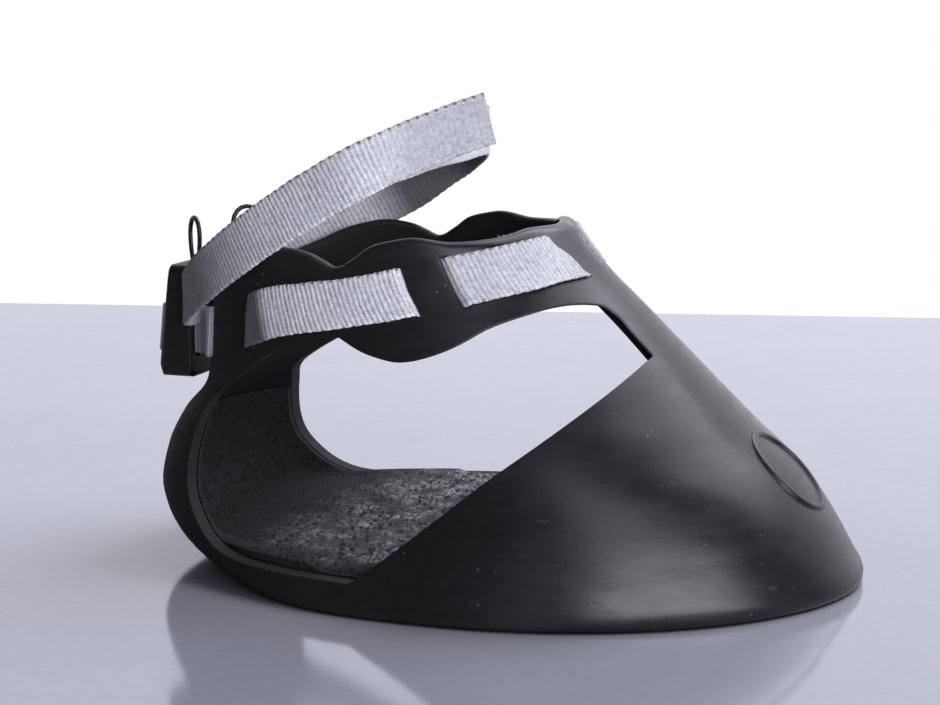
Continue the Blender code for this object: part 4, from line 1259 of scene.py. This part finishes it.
def moulding_material():
    """Satin near-black moulded rubber with flow marks, faint scuffs, dust and worn edges.

    The inside, the cut faces and the heel get painted shade, and a mottled light grey strip lies on
    the top of the front.
    """
    made, place = start_material("moulded_rubber")
    rounded, edges = edge_mask(place.tree, MOULD_EDGE)
    x, y, z = place.split()
    ahead = x.ramp(*MOULD_AHEAD)
    # 1 on the outer faces ahead of the heel; elsewhere the colour gets painted shade and more
    # roughness
    skin = add_node(place.tree, "ShaderNodeUVMap", {}).split()[0] * ahead
    clouds = place.grain(*MOULD_CLOUDS)
    flow = place.grain(*MOULD_FLOW)
    scuff = place.patches(*SCUFF_MARKS) * place.patches(*SCUFF_ZONES)
    speck = place.cells(SPECK_SCALE)[0].ramp(*SPECK_RAMP) * place.patches(*SPECK_ZONES)
    worn = edges * place.patches(*WORN_PATCHES) * ahead
    # Mottled light grey strip along the top of the front
    front_strip = z.ramp(*FRONT_STRIP_HIGH) * (y.ramp(*FRONT_STRIP_NEAR) * y.ramp(*FRONT_STRIP_FAR)) * x.ramp(*FRONT_STRIP_AHEAD)
    front_strip = front_strip * place.patches(*FRONT_STRIP_MARKS)
    base = clouds.ramp(*MOULD_TONE_RAMP).mix(MOULDING_DARK, MOULDING_LIGHT)
    # Painted shade on the inside, the cut faces and the heel
    base = skin.ramp(0.0, 1.0, INNER_SHADE_SHARE, 1.0).mix(MOULDING_PAINTED_SHADE, base)
    for mask, share, colour in ((worn, WORN_SHARE, DUST), (front_strip, FRONT_STRIP_SHARE, FRONT_STRIP_COLOUR),
                                (scuff, SCUFF_SHARE, DUST), (speck, SPECK_SHARE, DUST)):
        base = (mask * share).mix(base, colour)
    rough = clouds.ramp(*MOULD_ROUGH) + flow.ramp(*FLOW_ROUGH) + scuff * SCUFF_ROUGH
    rough = rough + skin.ramp(0.0, 1.0, INNER_ROUGH, 0.0)
    height = place.grain(*MOULD_FINE) * MOULD_HEIGHTS[0] + flow * MOULD_HEIGHTS[1]
    return shaded(made, base, rough, height.bump(*MOULD_BUMP, rounded), MOULD_SPECULAR)


def rubber_material():
    """Rubber lining moulded from crumbs: grey with dark pits.

    The low floor ahead gets painted light, and the heel cup and the higher walls get painted shade.
    """
    made, place = start_material("speckled_rubber")
    turned = add_node(place.tree, "ShaderNodeVectorRotate", {
        "Vector": place, "Angle": -math.radians(CAMERA_AZIMUTH)}, rotation_type="Z_AXIS")
    drawn = turned.stretch(CRUMB_STRETCH)
    crumb_place, crumb_colour = drawn.cells(CRUMB_SCALE)
    pit_place, pit_colour = drawn.cells(PIT_SCALE)
    crumb = crumb_colour.channel(0)
    pit = pit_place.ramp(*PIT_RAMP) * pit_colour.channel(1).ramp(*PIT_CHOICE)
    pit = pit * place.patches(*PIT_ZONES)
    # Painted light on the low floor ahead, with a wandering edge; elsewhere painted shade
    wander = (place.grain(*WANDER_GRAIN) - 0.5) * WANDER_REACH
    x, y, z = place.split()
    painted_light_zone = (x + wander).ramp(*PAINTED_LIGHT_AHEAD) * (z.ramp(*PAINTED_LIGHT_LOW) * (y + wander).ramp(*PAINTED_LIGHT_INSIDE))
    light = crumb.ramp(*CRUMB_RAMP).mix(PAD_MID, PAD_LIGHT)
    light = place.patches(*PAD_CLOUDING).mix(PAD_MID, light)
    dark = crumb.ramp(*PAINTED_SHADE_CRUMB_RAMP).mix(PAD_PAINTED_SHADE, PAD_PAINTED_SHADE_CRUMB)
    base = (pit * PIT_SHARE).mix(painted_light_zone.mix(dark, light), PIT_COLOUR)
    height = crumb_place * CRUMB_HEIGHT - pit + place.grain(*PAD_FINE) * PAD_FINE_HEIGHT
    return shaded(made, base, PAD_ROUGH, height.bump(*PAD_BUMP), PAD_SPECULAR)


def web_material(name, plain=None, painted_shade=0.0, shades=()):
    """Ribbed webbing in strap coordinates: u runs along it, v across, both in metres.

    From plain[0] to plain[1] along the strap the ribs fade into a smooth face, and the share given
    after plain darkens the inside more and more with painted shade. Each of the shades (start, end,
    soft edge, share) darkens a stretch of the outside with painted shade.
    """
    made, strap = start_material(name, "ShaderNodeUVMap", "UV", uv_map="strap")
    run, side, _ = strap.split()
    inside = side.math("GREATER_THAN", 0.5)
    across = side - inside
    spot = add_node(strap.tree, "ShaderNodeCombineXYZ", {0: run, 1: across, 2: inside})
    turn = 2 * math.pi
    bent = run + (spot.grain(*WOBBLE_GRAIN) - 0.5) * WOBBLE_REACH
    rib = (bent * (turn / RIB_PITCH)).math("SINE").ramp(-1.0, 1.0)
    shift = bent.math("DIVIDE", RIB_PITCH).math("FLOOR").math("MODULO", 2.0) * (turn / 2)
    warp = (across * (turn / WARP_PITCH) + shift).math("SINE").ramp(-1.0, 1.0)
    weave = rib.math("POWER", RIB_POWER) * warp.ramp(0.0, 1.0, WARP_LOW, 1.0)
    fade = spot.patches(*RIB_FADE)
    if plain:
        fade = fade * run.ramp(*plain, 1.0, PLAIN_RIBS)
    bands = []
    # Painted shade over stretches of the outside; the ribs fade under it as well
    for start, end, soft, share in shades:
        band = run.ramp(start - soft, start) * run.ramp(end, end + soft, 1.0, 0.0) * (1.0 - inside)
        bands.append(band * (1 - share))
        fade = fade * (1.0 - bands[-1])
    fibre = spot.grain(*FIBRE_GRAIN)
    speckle = spot.grain(*SPECKLE_GRAIN)
    tone = (weave - WEAVE_MIDDLE) * fade * WEAVE_CONTRAST + WEB_TONE
    tone = tone + fibre.ramp(*FIBRE_TONE) + speckle.ramp(*SPECKLE_TONE)
    tone = tone + spot.patches(*WEB_CLOUDING)
    notch = (run * (turn / SCALLOP_PITCH)).math("SINE").ramp(*NOTCH_RAMP) * across.ramp(*NOTCH_EDGE)
    tone = tone - notch * NOTCH_TONE + across.ramp(*FRAYED_EDGE) * speckle.ramp(*FRAYED_TONE)
    base = tone.ramp(0.0, 1.0).mix(WEB_DARK, WEB_LIGHT)
    for band in bands:
        base = band.mix(base, (0, 0, 0))
    # Painted shade on the inside, growing along the plain stretch
    if painted_shade:
        base = (inside * run.ramp(*plain, 0.0, painted_shade)).mix(base, PAINTED_SHADE_COLOUR)
    height = weave * fade + fibre * FIBRE_HEIGHT - notch * NOTCH_HEIGHT
    return shaded(made, base, WEB_ROUGH, height.bump(*WEB_BUMP), WEB_SPECULAR, **WEB_SHEEN)


def tape_material(name, light, dark, scale):
    """Hook or loop tape: a field of small hooks or a brushed pile."""
    made, place = start_material(name)
    fuzz = place.grain(scale * TAPE_FUZZ_SCALE, *TAPE_FUZZ)
    tone = place.cells(scale)[0].ramp(*TAPE_RAMP) + fuzz * TAPE_FUZZ_SHARE
    base = tone.ramp(*TAPE_TONE).mix(dark, light)
    return shaded(made, base, TAPE_ROUGH, tone.bump(*TAPE_BUMP), TAPE_SPECULAR, **TAPE_SHEEN)


def block_material():
    """Hard black plastic with a fine sandblasted skin and softly worn edges."""
    made, place = start_material("moulded_black")
    rounded, edges = edge_mask(place.tree, BLOCK_EDGE)
    clouds = place.grain(*BLOCK_CLOUDS)
    base = clouds.ramp(*BLOCK_TONE).mix(BLOCK_DARK, BLOCK_LIGHT)
    base = (edges * BLOCK_WORN).mix(base, DUST)
    normal = place.grain(*BLOCK_FINE).bump(*BLOCK_BUMP, rounded)
    return shaded(made, base, clouds.ramp(*BLOCK_ROUGH), normal, BLOCK_SPECULAR)


def drawn_material(name, noise, tone, dark, light, rough, depth):
    """Thin drawn stuff with fine marks: coated wire or twisted thread."""
    made, place = start_material(name)
    marks = place.grain(*noise)
    if isinstance(rough, tuple):
        rough = marks.ramp(*rough)
    return shaded(made, marks.ramp(*tone).mix(dark, light), rough, marks.bump(*depth))


def table_material():
    """Pale smooth table that shows a soft reflection of what stands on it."""
    made, place = start_material("table")
    fine = place.grain(*TABLE_FINE)
    tone = place.grain(*TABLE_CLOUDS) * TABLE_MIX + fine * (1 - TABLE_MIX)
    low, high = (tuple(v * share for v in TABLE_COLOUR) for share in TABLE_SHARES)
    base = tone.ramp(*TABLE_TONE).mix(low, high)
    return shaded(made, base, TABLE_ROUGH, fine.bump(*TABLE_BUMP), IOR=TABLE_IOR)


# Camera, table and light

def heading(azimuth, elevation):
    """Direction from the object, with azimuth from the near side towards the toe."""
    turn = math.radians(azimuth)
    rise = math.radians(elevation)
    level = math.cos(rise)
    return Vector((math.sin(turn) * level, -math.cos(turn) * level, math.sin(rise)))


def camera_axes():
    back = heading(CAMERA_AZIMUTH, CAMERA_ELEVATION)
    right = heading(CAMERA_AZIMUTH + 90, 0)
    return right, back.cross(right), back


def camera_place():
    right, up, back = camera_axes()
    return back * CAMERA_DISTANCE + right * CAMERA_RIGHT + up * CAMERA_UP


def make_camera():
    data = bpy.data.cameras.new("photo_camera")
    data.sensor_width = SENSOR_WIDTH
    data.lens = FOCAL_PIXELS * SENSOR_WIDTH / IMAGE_WIDTH
    data.clip_start = NEAR_CLIP
    made = placed("photo_camera", data)
    turned = Matrix(camera_axes()).transposed().to_4x4()
    turned.translation = camera_place()
    made.matrix_world = turned
    bpy.context.scene.camera = made


def on_table(column, row):
    """Point of the ground plane seen at a pixel."""
    right, up, back = camera_axes()
    place = camera_place()
    look = -back + right * ((column - IMAGE_WIDTH / 2) / FOCAL_PIXELS)
    look += up * ((IMAGE_HEIGHT / 2 - row) / FOCAL_PIXELS)
    return place - look * (place.z / look.z)


def make_table(finish):
    """Flat table whose back edge crosses the photo where the real one does."""
    left = on_table(0, EDGE_ROW_LEFT)
    right = on_table(IMAGE_WIDTH, EDGE_ROW_RIGHT)
    along = (right - left).normalized()
    front = Vector((along.y, -along.x, 0))
    middle = (left + right) / 2
    corners = [middle - along * TABLE_REACH, middle + along * TABLE_REACH]
    corners += [p + front * (2 * TABLE_REACH) for p in reversed(corners)]
    bm = bmesh.new()
    bm.faces.new([bm.verts.new(p) for p in reversed(corners)])
    made = from_bmesh("table", bm, finish)
    return made


def light_panel(name, target, azimuth, elevation, distance, width, height, brightness):
    """Soft rectangular light that faces the target from a direction, as bright as a white of 1."""
    way = heading(azimuth, elevation)
    data = bpy.data.lights.new(name, "AREA")
    data.shape = "RECTANGLE"
    data.size = width
    data.size_y = height
    data.energy = brightness * math.pi * width * height
    data.color = LIGHT_TINT
    made = placed(name, data)
    made.location = target + way * distance
    made.rotation_mode = "QUATERNION"
    made.rotation_quaternion = (-way).to_track_quat("-Z", "Y")
    return made


def make_world():
    """White backdrop, white in reflections only from behind, and plain dim light for the rest."""
    world = bpy.data.worlds.new("studio")
    world.use_nodes = True
    tree = world.node_tree
    plain = tree.nodes["Background"]
    set_inputs(plain, {"Color": (*LIGHT_TINT, 1.0), "Strength": AMBIENT})
    way = add_node(tree, "ShaderNodeTexCoord", {}, "Generated")
    behind = way.split()[1].ramp(*GLOSS_BEHIND, GLOSS_FRONT, 1.0)
    seen, through, glossy = add_node(
        tree, "ShaderNodeLightPath", {}, "Is Camera Ray", "Is Transmission Ray", "Is Glossy Ray")
    whole = seen.math("MAXIMUM", through)
    white = add_node(tree, "ShaderNodeBackground", {
        "Color": whole.mix(LIGHT_TINT, (1, 1, 1)), "Strength": behind.math("MAXIMUM", whole)})
    mixed = add_node(tree, "ShaderNodeMixShader", {
        0: whole.math("MAXIMUM", glossy), 1: Wire(tree, plain.outputs[0]), 2: white})
    set_inputs(tree.nodes["World Output"], {"Surface": mixed})
    bpy.context.scene.world = world


def make_lights(table):
    """Two panels for the object alone, so that the table doesn't mirror them, and one for all."""
    centre = Vector((0, 0, SHELL_HEIGHT / 2))
    light_panel("top", centre, *TOP_PANEL)
    spared = bpy.data.collections.new("spared_table")
    spared.objects.link(table)
    for name, panel in (("key", KEY_PANEL), ("high", HIGH_PANEL)):
        made = light_panel(name, centre, *panel)
        made.light_linking.receiver_collection = spared
    spared.collection_objects[0].light_linking.link_state = "EXCLUDE"


# Pieces

def paint(nodes, names, finish):
    """Give CAD nodes a material."""
    for name in names:
        node = nodes[name]
        node.data.materials.clear()
        node.data.materials.append(finish)


def make_straps(web, near_web, far_web, thread, hook, pile):
    strap = woven("coronet_webbing", coronet_stations(), web)
    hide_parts("coronet_strap")
    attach(strap, "boot")

    path = near_path()
    tip = pastern_centre(-root_tip(), False)
    turn = int(np.argmin(np.linalg.norm(path - np.array(tip), axis=1)))
    stations = ribbon(path, -1)
    anchor = woven("pastern_webbing_root", stations[:turn + 1], near_web)
    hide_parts("pastern_anchor_near")
    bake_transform(anchor)
    start = path_length(path[:turn + 1])
    near = woven("pastern_webbing_near", stations[turn:], near_web, start=start)
    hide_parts("pastern_strap_near")
    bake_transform(near)

    around = far_path()
    tip = pastern_centre(root_tip(), True)
    turn = int(np.argmin(np.linalg.norm(around - np.array(tip), axis=1)))
    far = woven("pastern_webbing_far", ribbon(around, 1), far_web)
    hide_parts("pastern_anchor_far", "pastern_strap_far")
    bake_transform(far)

    half = WEB_WIDTH / 2 - PATCH_INSET
    step = WEB_THICKNESS / 2 + SEAT_GAP + PATCH_THICKNESS / 2
    leave = len(path) - 1 - int(round(NEAR_END_LENGTH / PATH_STEP))
    tape = int(round(TAPE_LENGTH / PATH_STEP))
    band = ribbon(path, -1, half, -step, PATCH_THICKNESS)[leave:leave + tape]
    hooks = woven("hook_tape_near", band, hook, half, PATCH_THICKNESS, TAPE_RIBS)
    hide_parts("pastern_hook_patch")
    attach(hooks, "pastern_end")
    band = ribbon(around, 1, half, step, PATCH_THICKNESS)[-tape - 1:-1]
    loops = woven("loop_tape_far", band, pile, half, PATCH_THICKNESS, TAPE_RIBS)
    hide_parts("pastern_loop_patch")
    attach(loops, "pastern_loop")

    start = leave - int(round(STITCH_START / PATH_STEP))
    for name, share in (("near_stitching_low", -STITCH_SHARE),
                        ("near_stitching_high", STITCH_SHARE)):
        line, normals = edge_line(stations[start if share < 0 else leave:-3], share)
        rows = stitch_row(name, line, normals, thread)
        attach(rows, "pastern_end")


def tail_stations(start, end, away, thickness, half):
    """Upright band over the block's back, from one side place to another."""
    height = strap_height(180)
    low = height - half
    high = height + half
    lean = Vector((block_back(high) - block_back(low), 0, high - low)).normalized()
    out = Vector((-lean.z, 0, lean.x))
    base = Vector((block_back(height), 0, height)) + out * away
    found = []
    for i in range(TAIL_STEPS + 1):
        y = start + (end - start) * i / TAIL_STEPS
        pairs = []
        for w in (-1, 0, 1):
            spot = base + lean * (w * half) + Vector((0, y, 0))
            pairs.append((spot, spot + out * thickness))
        found.append(pairs)
    return found


def make_tail(web, hook):
    outer = SEAT_GAP * 2 + PATCH_THICKNESS
    lane = slot_lanes()[0]
    stations = tail_stations(-lane, TAIL_LENGTH - lane, outer, WEB_THICKNESS, WEB_WIDTH / 2)
    tail = woven("coronet_tail_webbing", stations, web)
    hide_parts("coronet_tail")
    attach(tail, "strap_tail")
    reach = BLOCK_SLOT_CENTRE - WEB_THICKNESS - SEAT_GAP * 2
    half = WEB_WIDTH / 2 - PATCH_INSET
    stations = tail_stations(-reach, reach, SEAT_GAP, PATCH_THICKNESS, half)
    patch = woven("hook_tape_tail", stations, hook, half, PATCH_THICKNESS, TAPE_RIBS)
    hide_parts("tail_hook_patch")
    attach(patch, "boot")


def main():
    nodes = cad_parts
    # The webbing materials are copies of one cloth with painted shade on different stretches
    start, end, front = (coronet_run(-degrees) for degrees in PAINTED_SHADE_DEGREES)
    web = web_material("woven_webbing", shades=[
        (start, end, PAINTED_SHADE_SOFT, PAINTED_SHADE_SHARE), (front, STRAP_END, FRONT_SOFT, WEB_FRONT_PAINTED_SHADE)])
    leave = path_length(near_path()) - NEAR_END_LENGTH
    smooth = tuple(leave + place for place in NEAR_PLAIN)
    near_web = web_material("woven_webbing_near", smooth, shades=[
        (-STRAP_END, NEAR_PAINTED_SHADE, NEAR_PAINTED_SHADE_SOFT, WEB_PAINTED_SHADE),
        (smooth[1], STRAP_END, NEAR_END_SOFT, NEAR_END_SHADE)])
    dim = path_length(far_path()) - FAR_DIM_LENGTH
    far_web = web_material("woven_webbing_far", (dim - FAR_DIM_SOFT, dim), FAR_PAINTED_SHADE)
    hook = tape_material("hook_tape", HOOK_LIGHT, HOOK_DARK, HOOK_SCALE)
    pile = tape_material("loop_tape", PILE_LIGHT, PILE_DARK, PILE_SCALE)
    wire = drawn_material(
        "coated_wire", RUB_GRAIN, RUB_TONE, WIRE_DARK, WIRE_LIGHT, RUB_ROUGH, RUB_BUMP)
    thread = drawn_material(
        "thread", TWIST_GRAIN, TWIST_TONE, THREAD_DARK, THREAD_LIGHT, THREAD_ROUGH, TWIST_BUMP)
    paint(nodes, ["heel_block", "loop_sleeve_near", "loop_sleeve_far"], block_material())
    paint(nodes, ["pull_loop_near", "pull_loop_far"], wire)
    make_shell(moulding_material())
    make_pad(rubber_material())
    make_straps(web, near_web, far_web, thread, hook, pile)
    make_tail(web, hook)
    make_camera()
    table = make_table(table_material())
    make_world()
    make_lights(table)
    bpy.context.scene.view_settings.view_transform = "Standard"


main()
